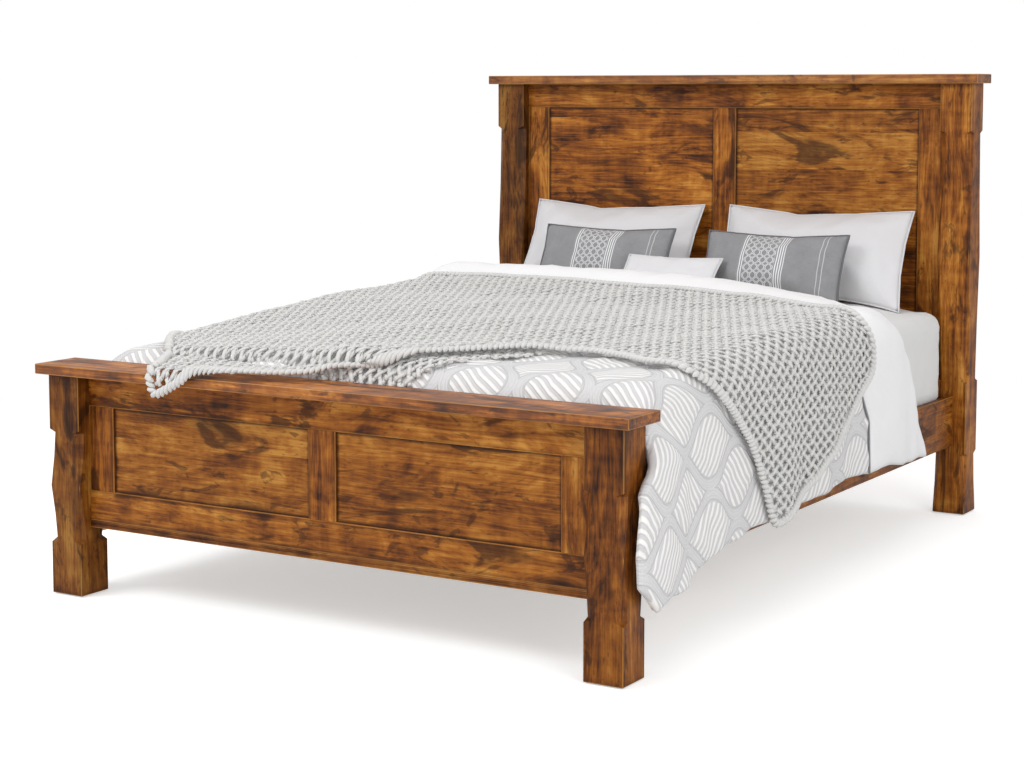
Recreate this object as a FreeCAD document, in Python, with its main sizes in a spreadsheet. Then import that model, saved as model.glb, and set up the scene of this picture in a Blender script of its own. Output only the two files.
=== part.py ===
"""A rustic panel bed, made up with its bedding.

The headboard and the footboard are frames of rails and stiles round flat floating panels, set between
square posts whose corners carry stopped, tapered chamfers. Two side rails hook into the posts. Slats lie
on ledgers inside the rails and on a centre beam, which stands on two legs with screw levellers.

Lengths are in millimetres. X runs across the bed, Y from the footboard to the headboard, Z up. The origin
is on the floor under the middle of the bed.
"""

import FreeCAD, Part
import math
import os
import Sketcher
from FreeCAD import Placement, Rotation, Vector

# Every driving size, by name: one row of the sheet each.
SIZES = {
    # mattress and the room round it
    "mattress_width": 1524,
    "mattress_length": 2032,
    "mattress_thickness": 348,
    "mattress_corner_round": 70,
    "mattress_edge_bevel": 18,
    "side_gap": 12,
    "end_gap": 25,
    # posts
    "post_width": 100,
    "post_arris": 1.5,
    "foot_height": 600,
    "head_height": 1345,
    "foot_block": 133,
    "foot_top_block": 142,
    "head_top_block": 142,
    "rail_block_bottom": 189,
    "rail_block_top": 403,
    "chamfer_wide": 21,
    "chamfer_middle": 15,
    "chamfer_narrow": 3,
    "chamfer_ledge": 9,
    # caps
    "foot_cap_thickness": 26,
    "head_cap_thickness": 28,
    "cap_overhang": 24,
    "cap_edge_round": 2.5,
    # frames between the posts
    "frame_thickness": 22,
    "foot_frame_inset": 41,
    "head_frame_inset": 37,
    "foot_frame_floor": 179,
    "head_frame_floor": 200,
    "foot_top_rail": 82,
    "foot_bottom_rail": 78,
    "head_top_rail": 78,
    "head_bottom_rail": 110,
    "moulding_height": 18,
    "moulding_proud": 4,
    "moulding_round": 3,
    "moulding_bead": 7,
    "moulding_quirk": 2,
    "stile_width": 80,
    "centre_stile_width": 80,
    "panel_thickness": 10,
    "arris": 1.6,
    "groove_depth": 10,
    "groove_gap": 0.2,
    "panel_play": 1.5,
    "stub_play": 0.8,
    "tenon_length": 32,
    "tenon_thickness": 9,
    "tenon_shoulder": 14,
    "tenon_gap": 0.2,
    "tenon_play": 0.8,
    # side rails and what they carry
    "rail_inset": 42,
    "rail_thickness": 22,
    "rail_height": 153,
    "rail_floor": 213,
    "ledger_width": 32,
    "ledger_height": 38,
    "ledger_end_gap": 20,
    "ledger_screw_rise": 10,
    "ledger_screw_end": 140,
    "ledger_screw_count": 6,
    "slat_count": 12,
    "slat_width": 90,
    "slat_thickness": 19,
    "slat_end_gap": 3,
    "slat_margin": 40,
    "slat_floor": 283,
    # centre support
    "beam_width": 38,
    "beam_height": 70,
    "beam_end_gap": 0.5,
    "bracket_sheet": 3,
    "bracket_depth": 45,
    "bracket_height": 50,
    "bracket_gap": 0.3,
    "bracket_flange": 22,
    "leg_width": 45,
    "leg_spacing": 700,
    "leg_tenon_radius": 10,
    "leg_tenon_length": 24,
    "leg_foot_chamfer": 3,
    "insert_radius": 6,
    "insert_length": 15,
    "insert_flange": 1.5,
    "insert_flange_radius": 11,
    "leveller_radius": 18,
    "leveller_base": 8,
    "leveller_slope": 3,
    "stud_radius": 4,
    "stud_length": 45,
    "stud_gap": 0.08,
    "leveller_rest_gap": 0.3,
    # hooked fastenings between rails and posts
    "plate_thickness": 3,
    "plate_width": 16,
    "plate_height": 130,
    "plate_gap": 0.2,
    "hook_thickness": 3,
    "hook_neck": 18,
    "hook_drop": 10,
    "hook_lip": 3,
    "hook_spacing": 50,
    "slot_height": 30,
    "slot_gap": 0.3,
    "plate_screw_end": 8,
    # screws and glides
    "screw_radius": 2,
    "screw_head_radius": 4,
    "screw_gap": 0.1,
    "screw_tip": 3,
    "slat_screw_length": 35,
    "ledger_screw_length": 48,
    "plate_screw_length": 28,
    "bracket_screw_length": 18,
    "pilot_play": 1,
    "glide_height": 3,
    "glide_radius": 20,
    "glide_nail_radius": 1.2,
    "glide_nail_length": 14,
    # bedding
    "soft_gap": 0.3,
    "cover_thickness": 30,
    "drop_thickness": 24,
    "drop_gap": 3,
    "drop_corner": 30,
    "comforter_foot_gap": 29,
    "comforter_head_gap": 553,
    "comforter_hem_foot": 145,
    "comforter_hem_head": 212,
    "comforter_side_back": 210,
    "duvet_length": 158,
    "duvet_drop_length": 318,
    "duvet_hem": 222,
    "duvet_slant_top": 600,
    "throw_thickness": 10,
    "throw_head_gap": 20,
    "throw_left_inset": 70,
    "throw_left_front": 200,
    "throw_lap_left": 298,
    "throw_lap_right": 640,
    "throw_lap_front": 150,
    "throw_edge_low": 80,
    "throw_edge_low_across": 923,
    "throw_edge_middle": 270,
    "throw_edge_middle_across": 1087,
    "throw_edge_high": 360,
    "throw_edge_high_across": 1253,
    "throw_drop_front": 300,
    "throw_drop_waist": 529,
    "throw_drop_waist_floor": 443,
    "throw_drop_tip": 637,
    "throw_drop_tip_floor": 223,
    "throw_drop_tip_back": 717,
    "throw_drop_back": 1218,
    "throw_drop_back_floor": 482,
    "throw_right_head_gap": 210,
    "pillow_width": 618,
    "pillow_length": 340,
    "pillow_thickness": 150,
    "pillow_rise": 54,
    "pillow_left_centre": 378,
    "pillow_right_centre": 338,
    "cushion_width": 466,
    "cushion_length": 246,
    "cushion_thickness": 110,
    "cushion_rise": 57,
    "cushion_left_centre": 306,
    "cushion_right_centre": 284,
    "small_cushion_width": 326,
    "small_cushion_length": 172,
    "small_cushion_thickness": 50,
    "small_cushion_rise": 35,
    "small_cushion_centre": 4,
}

SHEET = "Sizes"
doc = FreeCAD.newDocument("panel_bed")


class Size:
    """A length, angle or count that is both a number and an expression on the sheet."""

    def __init__(self, number, text):
        self.number = number
        self.text = text

    def combined(self, other, sign, number):
        return Size(number, f"({self.text} {sign} {other.text})")

    def __add__(self, other):
        other = as_size(other)
        return self.combined(other, "+", self.number + other.number)

    def __radd__(self, other):
        return as_size(other) + self

    def __sub__(self, other):
        other = as_size(other)
        return self.combined(other, "-", self.number - other.number)

    def __rsub__(self, other):
        return as_size(other) - self

    def __mul__(self, other):
        other = as_size(other)
        return self.combined(other, "*", self.number * other.number)

    def __rmul__(self, other):
        return as_size(other) * self

    def __truediv__(self, other):
        other = as_size(other)
        return self.combined(other, "/", self.number / other.number)

    def __neg__(self):
        return as_size(0) - self


def as_size(value):
    """A bare number stands for itself."""
    if isinstance(value, Size):
        return value
    return Size(float(value), f"({float(value)})")


def root(size):
    return Size(math.sqrt(size.number), f"sqrt({size.text})")


def sine(angle):
    return Size(math.sin(math.radians(angle.number)), f"sin({angle.text})")


def cosine(angle):
    return Size(math.cos(math.radians(angle.number)), f"cos({angle.text})")


def fill_sheet():
    """Writes the driving sizes to the sheet and gives each back as a Size by its name."""
    sheet = doc.addObject("Spreadsheet::Sheet", SHEET)
    sizes = {}
    for row, (name, value) in enumerate(SIZES.items(), start=1):
        sheet.set(f"A{row}", name)
        sheet.set(f"B{row}", str(value))
        sheet.setAlias(f"B{row}", name)
        sizes[name] = Size(float(value), f"{SHEET}.{name}")
    doc.recompute()
    return sizes


S = fill_sheet()


class Layout:
    """Places that several pieces share, worked out from the driving sizes."""

    inside_width = S["mattress_width"] + 2 * S["side_gap"]
    inside_length = S["mattress_length"] + 2 * S["end_gap"]
    rail_outer = inside_width / 2 + S["rail_thickness"]
    rail_centre = inside_width / 2 + S["rail_thickness"] / 2
    post_outer = rail_outer + S["rail_inset"]
    post_centre = post_outer - S["post_width"] / 2
    between_posts = 2 * (post_outer - S["post_width"])
    span = inside_length + 2 * S["post_width"]
    front = (S["cap_overhang"] - span) / 2
    inside_foot = front + S["post_width"]
    inside_head = inside_foot + inside_length
    inside_middle = inside_foot + inside_length / 2
    foot_frame_front = front + S["foot_frame_inset"]
    foot_frame_back = foot_frame_front + S["frame_thickness"]
    head_frame_front = inside_head + S["head_frame_inset"]
    foot_cap_floor = S["foot_height"] - S["foot_cap_thickness"]
    head_cap_floor = S["head_height"] - S["head_cap_thickness"]
    slat_top = S["slat_floor"] + S["slat_thickness"]
    slat_length = inside_width - 2 * S["slat_end_gap"]
    slat_first = S["slat_margin"] + S["slat_width"] / 2
    slat_pitch = (inside_length - 2 * slat_first) / (S["slat_count"] - 1)
    ledger_floor = S["slat_floor"] - S["ledger_height"]
    ledger_length = inside_length - 2 * S["ledger_end_gap"]
    ledger_screw_pitch = (ledger_length - 2 * S["ledger_screw_end"]) / (S["ledger_screw_count"] - 1)
    beam_floor = S["slat_floor"] - S["beam_height"]
    leg_floor = S["leveller_base"] + S["leveller_rest_gap"] + S["insert_flange"]
    plate_floor = S["rail_floor"] + (S["rail_height"] - S["plate_height"]) / 2
    hole_radius = S["screw_radius"] + S["screw_gap"]
    sink_radius = S["screw_head_radius"] + 2 * S["screw_gap"]
    mattress_top = slat_top + S["mattress_thickness"]
    cover_floor = mattress_top + S["soft_gap"]
    cover_top = cover_floor + S["cover_thickness"]
    drop_inner = rail_outer + S["drop_gap"]
    drop_outer = drop_inner + S["drop_thickness"]
    comforter_foot = inside_foot + S["comforter_foot_gap"]
    comforter_head = inside_head - S["comforter_head_gap"]
    comforter_length = inside_length - S["comforter_foot_gap"] - S["comforter_head_gap"]


# ---------------------------------------------------------------- drawing helpers


def bind(item, path, size):
    """Ties one property of an object to an expression on the sheet."""
    item.setExpression(path, as_size(size).text)


def place(item, x=0, y=0, z=0, turn=0, axis=Vector(0, 0, 1)):
    """Puts an object at a place that follows the sheet."""
    item.Placement = Placement(Vector(), Rotation(axis, turn))
    for name, distance in (("x", x), ("y", y), ("z", z)):
        bind(item, f"Placement.Base.{name}", distance)


def new_body(label):
    body = doc.addObject("PartDesign::Body", label)
    body.Label = label
    return body


def sketch_on(body, plane, shift=(0, 0, 0), turn=0):
    """A sketch on one of the body's own origin planes, moved along its own axes and turned about its Y."""
    sketch = body.newObject("Sketcher::SketchObject", f"{body.Label}_sketch")
    for feature in body.Origin.OriginFeatures:
        if feature.Role == plane:
            sketch.AttachmentSupport = [(feature, "")]
    sketch.MapMode = "FlatFace"
    sketch.AttachmentOffset = Placement(Vector(), Rotation(Vector(0, 1, 0), turn))
    for name, distance in zip("xyz", shift):
        bind(sketch, f"AttachmentOffset.Base.{name}", distance)
    return sketch


def hold_point(sketch, edge, end, x, y):
    """Fixes one end of an edge by its distances from the sketch's origin."""
    for kind, distance, axis in (("DistanceX", x, -2), ("DistanceY", y, -1)):
        distance = as_size(distance)
        if distance.number == 0:
            sketch.addConstraint(Sketcher.Constraint("PointOnObject", edge, end, axis))
            continue
        rule = Sketcher.Constraint(kind, -1, 1, edge, end, distance.number)
        number = sketch.addConstraint(rule)
        bind(sketch, f"Constraints[{number}]", distance)


def outline(sketch, corners):
    """Draws one closed outline of straight edges through the corners."""
    first = sketch.GeometryCount
    count = len(corners)
    points = [Vector(as_size(x).number, as_size(y).number, 0) for x, y in corners]
    for index in range(count):
        sketch.addGeometry(Part.LineSegment(points[index], points[(index + 1) % count]))
    for index in range(count):
        following = first + (index + 1) % count
        sketch.addConstraint(Sketcher.Constraint("Coincident", first + index, 2, following, 1))
        hold_point(sketch, first + index, 1, *corners[index])


def rectangle(x0, x1, y0, y1):
    return [(x0, y0), (x1, y0), (x1, y1), (x0, y1)]


def circle(sketch, x, y, radius):
    """Draws a circle held at its centre and by its radius."""
    centre = Vector(as_size(x).number, as_size(y).number, 0)
    index = sketch.addGeometry(Part.Circle(centre, Vector(0, 0, 1), as_size(radius).number))
    hold_point(sketch, index, 3, x, y)
    number = sketch.addConstraint(Sketcher.Constraint("Radius", index, as_size(radius).number))
    bind(sketch, f"Constraints[{number}]", radius)


def pad(body, sketch, length, both_ways=False):
    """Raises a sketch along its normal, or half of the length to each side."""
    feature = body.newObject("PartDesign::Pad", f"{sketch.Name}_pad")
    feature.Profile = sketch
    feature.SideType = "Symmetric" if both_ways else "One side"
    bind(feature, "Length", length)
    return feature


def pocket(body, sketch, length, both_ways=False, along_normal=False):
    """Cuts a sketch away, against its normal unless told otherwise."""
    feature = body.newObject("PartDesign::Pocket", f"{sketch.Name}_pocket")
    feature.Profile = sketch
    feature.SideType = "Symmetric" if both_ways else "One side"
    feature.Reversed = along_normal
    bind(feature, "Length", length)
    return feature


def box_pad(body, plane, shift, width, height, length):
    """A rectangular block raised from one corner."""
    sketch = sketch_on(body, plane, shift)
    outline(sketch, rectangle(0, width, 0, height))
    return pad(body, sketch, length)


def row_of(body, feature, axis, length, count):
    """Repeats a feature along one of the body's axes."""
    pattern = body.newObject("PartDesign::LinearPattern", f"{feature.Name}_row")
    pattern.Originals = [feature]
    for origin_feature in body.Origin.OriginFeatures:
        if origin_feature.Role == axis:
            pattern.Direction = (origin_feature, [""])
    bind(pattern, "Length", length)
    bind(pattern, "Occurrences", count)
    body.Tip = pattern
    return pattern


def ring_of(body, feature, count):
    """Repeats a feature round the body's upright axis."""
    pattern = body.newObject("PartDesign::PolarPattern", f"{feature.Name}_ring")
    pattern.Originals = [feature]
    for origin_feature in body.Origin.OriginFeatures:
        if origin_feature.Role == "Z_Axis":
            pattern.Axis = (origin_feature, [""])
    pattern.Angle = 360
    pattern.Occurrences = count
    body.Tip = pattern
    return pattern


def revolved(label, corners):
    """A turned piece: the outline's first number is the radius, its second the height."""
    body = new_body(label)
    sketch = sketch_on(body, "XZ_Plane")
    outline(sketch, corners)
    feature = body.newObject("PartDesign::Revolution", f"{label}_turned")
    feature.Profile = sketch
    feature.ReferenceAxis = (sketch, ["V_Axis"])
    feature.Angle = 360
    return body


def edge_names(feature, wanted):
    """The names of the feature's edges that pass the test."""
    doc.recompute()
    edges = feature.Shape.Edges
    return [f"Edge{number}" for number, edge in enumerate(edges, start=1) if wanted(edge)]


def rounded(body, feature, radius, wanted):
    fillet = body.newObject("PartDesign::Fillet", f"{feature.Name}_round")
    fillet.Base = (feature, edge_names(feature, wanted))
    bind(fillet, "Radius", radius)
    return fillet


def grouped(label, master, places):
    """One node that holds a copy of the master solid at each place."""
    doc.recompute()
    solid = master.Shape
    copies = [solid.transformed(spot.toMatrix(), True) for spot in places]
    group = doc.addObject("Part::Feature", label)
    group.Label = label
    group.Shape = Part.makeCompound(copies)
    return group


def spot(x, y, z, turn=0, axis=Vector(0, 0, 1)):
    """A place as plain numbers, for the copies of a group."""
    numbers = [as_size(value).number for value in (x, y, z)]
    return Placement(Vector(*numbers), Rotation(axis, turn))


# ---------------------------------------------------------------- posts


def corner_reach(chamfer):
    """How far along the post's diagonal a corner chamfer of this width lies."""
    return (S["post_width"] - chamfer) / math.sqrt(2)


def carve_corners(body, low, high):
    """Cuts the double-tapered chamfers between two blocks: wide at the blocks, narrow in the middle."""
    corner = corner_reach(0)
    clear = corner + 5
    ledge = S["chamfer_ledge"]
    middle = (low + high) / 2
    quarter = (high - low) / 4
    sketch = sketch_on(body, "XZ_Plane", turn=45)
    outline(
        sketch,
        [
            (clear, low),
            (corner, low),
            (corner_reach(S["chamfer_wide"]), low + ledge),
            (corner_reach(S["chamfer_middle"]), low + quarter),
            (corner_reach(S["chamfer_narrow"]), middle),
            (corner_reach(S["chamfer_middle"]), high - quarter),
            (corner_reach(S["chamfer_wide"]), high - ledge),
            (corner, high),
            (clear, high),
        ],
    )
    cut = pocket(body, sketch, S["post_width"], both_ways=True)
    ring_of(body, cut, 4)


def carve_foot(body, high):
    """Cuts the single-tapered chamfers of a leg: wide under the block, gone at the floor."""
    corner = corner_reach(0)
    clear = corner + 5
    sketch = sketch_on(body, "XZ_Plane", turn=45)
    outline(
        sketch,
        [
            (clear, 0),
            (corner, 0),
            (corner_reach(S["chamfer_middle"]), high / 2),
            (corner_reach(S["chamfer_wide"]), high - S["chamfer_ledge"]),
            (corner, high),
            (clear, high),
        ],
    )
    cut = pocket(body, sketch, S["post_width"], both_ways=True)
    ring_of(body, cut, 4)


def cut_mortises(body, side, inset_from_front, rails):
    """Cuts the mortises for the frame's rails in the post's inner face."""
    gap = S["tenon_gap"]
    half = S["post_width"] / 2
    start = inset_from_front - half + (S["frame_thickness"] - S["tenon_thickness"]) / 2 - gap
    width = S["tenon_thickness"] + 2 * gap
    for floor, height in rails:
        rise = floor + S["tenon_shoulder"] - gap - S["glide_height"]
        tall = height - 2 * S["tenon_shoulder"] + 2 * gap
        sketch = sketch_on(body, "YZ_Plane", (start, rise, -side * half))
        outline(sketch, rectangle(0, width, 0, tall))
        depth = S["tenon_length"] + S["tenon_play"]
        pocket(body, sketch, depth, along_normal=side > 0)


def cut_plate_seat(body, side, toward_head):
    """Lets the slotted plate, its hooks and its screws into the face that the side rail meets."""
    half = S["post_width"] / 2
    gap = S["plate_gap"]
    shift = side * (Layout.rail_centre - Layout.post_centre)
    floor = Layout.plate_floor - S["glide_height"]
    face = half * toward_head
    into_post = toward_head < 0

    seat = sketch_on(body, "XZ_Plane", (shift - S["plate_width"] / 2 - gap, floor - gap, -face))
    outline(seat, rectangle(0, S["plate_width"] + 2 * gap, 0, S["plate_height"] + 2 * gap))
    pocket(body, seat, S["plate_thickness"], along_normal=not into_post)

    reach = S["plate_thickness"] + S["slot_gap"] + S["hook_lip"] + 2 * gap
    wide = S["hook_thickness"] + 4 * S["slot_gap"]
    tall = S["slot_height"] + 2 * S["hook_drop"]
    start = slot_floor() - S["hook_drop"] + floor
    room = sketch_on(body, "XZ_Plane", (shift - wide / 2, start, -face))
    outline(room, rectangle(0, wide, 0, tall))
    hollow = pocket(body, room, reach, along_normal=not into_post)
    row_of(body, hollow, "Z_Axis", S["hook_spacing"], as_size(2))

    pilots = sketch_on(body, "XZ_Plane", (shift, floor, -face))
    for rise in (S["plate_screw_end"], S["plate_height"] - S["plate_screw_end"]):
        circle(pilots, 0, rise, Layout.hole_radius)
    pocket(body, pilots, S["plate_screw_length"] + S["pilot_play"], along_normal=not into_post)


def slot_floor():
    """Height of the lower slot's floor over the plate's own lower edge."""
    return (S["plate_height"] - S["hook_spacing"] - S["slot_height"]) / 2


def glide_hole(body):
    sketch = sketch_on(body, "XY_Plane")
    circle(sketch, 0, 0, S["glide_nail_radius"] + S["screw_gap"])
    pocket(body, sketch, S["glide_nail_length"] + S["pilot_play"], along_normal=True)


def square_bar(body, half, height):
    """A post's stock: square, its four long edges and its lower end's edges just broken."""
    block = box_pad(body, "XY_Plane", (-half, -half, 0), S["post_width"], S["post_width"], height)
    edges = edge_names(block, lambda edge: edge.BoundBox.ZLength > 1 or edge.BoundBox.ZMax < 1)
    broken = body.newObject("PartDesign::Chamfer", "broken_edges")
    broken.Base = (block, edges)
    bind(broken, "Size", S["post_arris"])


def make_foot_post(label, side):
    body = new_body(label)
    half = S["post_width"] / 2
    height = Layout.foot_cap_floor - S["glide_height"]
    square_bar(body, half, height)
    carve_corners(body, S["foot_block"], height - S["foot_top_block"])
    rails = [
        (Layout.foot_cap_floor - S["foot_top_rail"], S["foot_top_rail"]),
        (S["foot_frame_floor"] + S["moulding_height"], S["foot_bottom_rail"]),
    ]
    cut_mortises(body, side, S["foot_frame_inset"], rails)
    cut_plate_seat(body, side, 1)
    glide_hole(body)
    place(body, side * Layout.post_centre, Layout.front + half, S["glide_height"])


def make_head_post(label, side):
    body = new_body(label)
    half = S["post_width"] / 2
    height = Layout.head_cap_floor - S["glide_height"]
    square_bar(body, half, height)
    carve_corners(body, S["rail_block_top"], height - S["head_top_block"])
    carve_foot(body, S["rail_block_bottom"])
    rails = [
        (Layout.head_cap_floor - S["head_top_rail"], S["head_top_rail"]),
        (S["head_frame_floor"], S["head_bottom_rail"]),
    ]
    cut_mortises(body, side, S["head_frame_inset"], rails)
    cut_plate_seat(body, side, -1)
    glide_hole(body)
    place(body, side * Layout.post_centre, Layout.inside_head + half, S["glide_height"])


# ---------------------------------------------------------------- frames and panels


def grooved_section(width, low_groove, high_groove):
    """Section of a frame member: across its width, then through its thickness, with panel grooves."""
    thick = S["frame_thickness"]
    ease = S["arris"]
    deep = S["groove_depth"]
    half_groove = S["panel_thickness"] / 2 + S["groove_gap"]
    near = thick / 2 - half_groove
    far = thick / 2 + half_groove
    corners = []
    if low_groove:
        corners += [(ease, 0), (0, ease), (0, near), (deep, near), (deep, far), (0, far)]
        corners += [(0, thick - ease), (ease, thick)]
    else:
        corners += [(0, 0), (0, thick)]
    if high_groove:
        corners += [(width - ease, thick), (width, thick - ease), (width, far), (width - deep, far)]
        corners += [(width - deep, near), (width, near), (width, ease), (width - ease, 0)]
    else:
        corners += [(width, thick), (width, 0)]
    return corners


def make_frame_rail(label, height, groove_below, y, z):
    """A rail with a panel groove along one edge and a tenon at each end."""
    body = new_body(label)
    length = Layout.between_posts
    sketch = sketch_on(body, "YZ_Plane")
    section = grooved_section(height, groove_below, not groove_below)
    outline(sketch, [(thick, across) for across, thick in section])
    pad(body, sketch, length)
    start = (S["frame_thickness"] - S["tenon_thickness"]) / 2
    tall = height - 2 * S["tenon_shoulder"]
    for end in (-S["tenon_length"], length):
        shift = (start, S["tenon_shoulder"], end)
        box_pad(body, "YZ_Plane", shift, S["tenon_thickness"], tall, S["tenon_length"])
    place(body, -length / 2, y, z)


def make_stile(label, width, height, low_groove, high_groove, x, y, z):
    """A stile with grooves for the panels beside it and a stub tenon at each end."""
    body = new_body(label)
    sketch = sketch_on(body, "XY_Plane")
    outline(sketch, grooved_section(width, low_groove, high_groove))
    pad(body, sketch, height)
    stub = S["groove_depth"] - S["stub_play"]
    left = S["groove_depth"] if low_groove else as_size(0)
    right = width - S["groove_depth"] if high_groove else width
    start = (S["frame_thickness"] - S["panel_thickness"]) / 2
    for end in (-stub, height):
        box_pad(body, "XY_Plane", (left, start, end), right - left, S["panel_thickness"], stub)
    place(body, x, y, z)


def make_panel(label, width, height, x, y, z):
    """A flat panel that floats in the grooves round its opening."""
    reach = S["groove_depth"] - S["panel_play"]
    panel = doc.addObject("Part::Box", label)
    panel.Label = label
    bind(panel, "Length", width + 2 * reach)
    bind(panel, "Width", S["panel_thickness"])
    bind(panel, "Height", height + 2 * reach)
    place(panel, x - reach, y + (S["frame_thickness"] - S["panel_thickness"]) / 2, z - reach)


def make_frame(end, y, floor, cap_floor, bottom_height, top_height):
    """The rails, stiles and panels between one pair of posts."""
    opening_floor = floor + bottom_height
    opening_top = cap_floor - top_height
    height = opening_top - opening_floor
    half = Layout.between_posts / 2
    stile = S["stile_width"]
    centre = S["centre_stile_width"]
    make_frame_rail(f"{end}_bottom_rail", bottom_height, False, y, floor)
    make_frame_rail(f"{end}_top_rail", top_height, True, y, opening_top)
    make_stile(f"{end}_stile_left", stile, height, False, True, -half, y, opening_floor)
    make_stile(f"{end}_stile_right", stile, height, True, False, half - stile, y, opening_floor)
    make_stile(f"{end}_stile_centre", centre, height, True, True, -centre / 2, y, opening_floor)
    width = half - stile - centre / 2
    make_panel(f"{end}_panel_left", width, height, -half + stile, y, opening_floor)
    make_panel(f"{end}_panel_right", width, height, centre / 2, y, opening_floor)


def make_base_moulding():
    """The strip under the footboard's bottom rail, proud of it on both faces, a bead along its upper edge."""
    body = new_body("foot_base_moulding")
    deep = S["frame_thickness"] + 2 * S["moulding_proud"]
    tall = S["moulding_height"]
    ease = S["moulding_round"]
    sketch = sketch_on(body, "YZ_Plane")
    quirk = S["moulding_quirk"]
    bead = tall - S["moulding_bead"]
    front = [(0, bead), (quirk, bead - quirk), (0, bead - 2 * quirk)]
    back = [(deep, bead - 2 * quirk), (deep - quirk, bead - quirk), (deep, bead)]
    corners = [(0, 0), (deep, 0), *back, (deep, tall - ease), (deep - ease, tall), (ease, tall), (0, tall - ease)]
    outline(sketch, corners + front)
    pad(body, sketch, Layout.between_posts)
    y = Layout.foot_frame_front - S["moulding_proud"]
    place(body, -Layout.between_posts / 2, y, S["foot_frame_floor"])


def make_cap(label, y, z, depth, thickness):
    """A cap board with eased edges, past the posts at both ends."""
    body = new_body(label)
    length = 2 * (Layout.post_outer + S["cap_overhang"])
    block = box_pad(body, "XY_Plane", (0, 0, 0), length, depth, thickness)
    rounded(body, block, S["cap_edge_round"], lambda edge: True)
    place(body, -length / 2, y, z)


# ---------------------------------------------------------------- side rails, ledgers and slats


def eased_section(width, height):
    """A rectangle with its four corners taken off by the arris."""
    ease = S["arris"]
    return [
        (ease, 0),
        (width - ease, 0),
        (width, ease),
        (width, height - ease),
        (width - ease, height),
        (ease, height),
        (0, height - ease),
        (0, ease),
    ]


def place_along(body, side, offset, length, z):
    """Lays a bar that was drawn along X beside the bed: its own front face looks outwards."""
    if side > 0:
        place(body, offset, Layout.inside_middle - length / 2, z, turn=90)
    else:
        place(body, -offset, Layout.inside_middle + length / 2, z, turn=-90)


def ledger_screw_start():
    return S["ledger_end_gap"] + S["ledger_screw_end"]


def make_side_rail(label, side):
    """A side rail with a seat for the hooked plate in each end."""
    body = new_body(label)
    length = Layout.inside_length
    thick = S["rail_thickness"]
    gap = S["plate_gap"]
    sketch = sketch_on(body, "YZ_Plane")
    outline(sketch, eased_section(thick, S["rail_height"]))
    pad(body, sketch, length)
    wide = S["plate_width"] + 2 * gap
    floor = Layout.plate_floor - S["rail_floor"]
    for end, inward in ((as_size(0), True), (length, False)):
        seat = sketch_on(body, "YZ_Plane", ((thick - wide) / 2, floor - gap, end))
        outline(seat, rectangle(0, wide, 0, S["plate_height"] + 2 * gap))
        pocket(body, seat, S["plate_thickness"], along_normal=inward)
        pilots = sketch_on(body, "YZ_Plane", (thick / 2, floor, end))
        for rise in (S["plate_screw_end"], S["plate_height"] - S["plate_screw_end"]):
            circle(pilots, 0, rise, Layout.hole_radius)
        pocket(body, pilots, S["plate_screw_length"] + S["pilot_play"], along_normal=inward)
    rise = Layout.ledger_floor - S["rail_floor"] + S["ledger_screw_rise"]
    pilots = sketch_on(body, "XZ_Plane", (0, 0, -thick))
    circle(pilots, ledger_screw_start(), rise, Layout.hole_radius)
    depth = S["ledger_screw_length"] - S["ledger_width"] + S["pilot_play"]
    first = pocket(body, pilots, depth, along_normal=True)
    run = Layout.ledger_length - 2 * S["ledger_screw_end"]
    row_of(body, first, "X_Axis", run, S["ledger_screw_count"])
    volume_before_and_after(pilots, first)
    place_along(body, side, Layout.rail_outer, length, S["rail_floor"])


def volume_before_and_after(sketch, feature):
    """Stops the build where a cut took nothing away."""
    doc.recompute()
    if feature.Shape.Volume >= feature.BaseFeature.Shape.Volume - 1:
        raise ValueError(f"{feature.Name} on {sketch.Name} cuts nothing")


def sunk_holes(body, sketch, depth):
    """Screw holes with countersinks, at each circle of the sketch."""
    doc.recompute()
    hole = body.newObject("PartDesign::Hole", f"{sketch.Name}_hole")
    hole.Profile = sketch
    hole.DepthType = "Dimension"
    bind(hole, "Depth", depth)
    bind(hole, "Diameter", 2 * Layout.hole_radius)
    hole.DrillPoint = "Flat"
    hole.HoleCutType = "Countersink"
    hole.HoleCutCustomValues = True
    bind(hole, "HoleCutDiameter", 2 * Layout.sink_radius)
    hole.HoleCutCountersinkAngle = 90
    return hole


def make_ledger(label, side):
    """The strip inside a side rail that the slats lie on."""
    body = new_body(label)
    length = Layout.ledger_length
    wide = S["ledger_width"]
    tall = S["ledger_height"]
    box_pad(body, "YZ_Plane", (0, 0, 0), wide, tall, length)
    top = sketch_on(body, "XY_Plane", (0, 0, tall))
    circle(top, Layout.slat_first - S["ledger_end_gap"], wide / 2, Layout.hole_radius)
    depth = S["slat_screw_length"] - S["slat_thickness"] + S["pilot_play"]
    first = pocket(body, top, depth)
    run = Layout.inside_length - 2 * Layout.slat_first
    row_of(body, first, "X_Axis", run, S["slat_count"])
    inner = sketch_on(body, "XZ_Plane", (0, 0, -wide))
    circle(inner, S["ledger_screw_end"], S["ledger_screw_rise"], Layout.hole_radius)
    through = sunk_holes(body, inner, wide)
    through.Reversed = True
    volume_before_and_after(inner, through)
    row_of(body, through, "X_Axis", length - 2 * S["ledger_screw_end"], S["ledger_screw_count"])
    place_along(body, side, Layout.inside_width / 2, length, Layout.ledger_floor)


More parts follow.
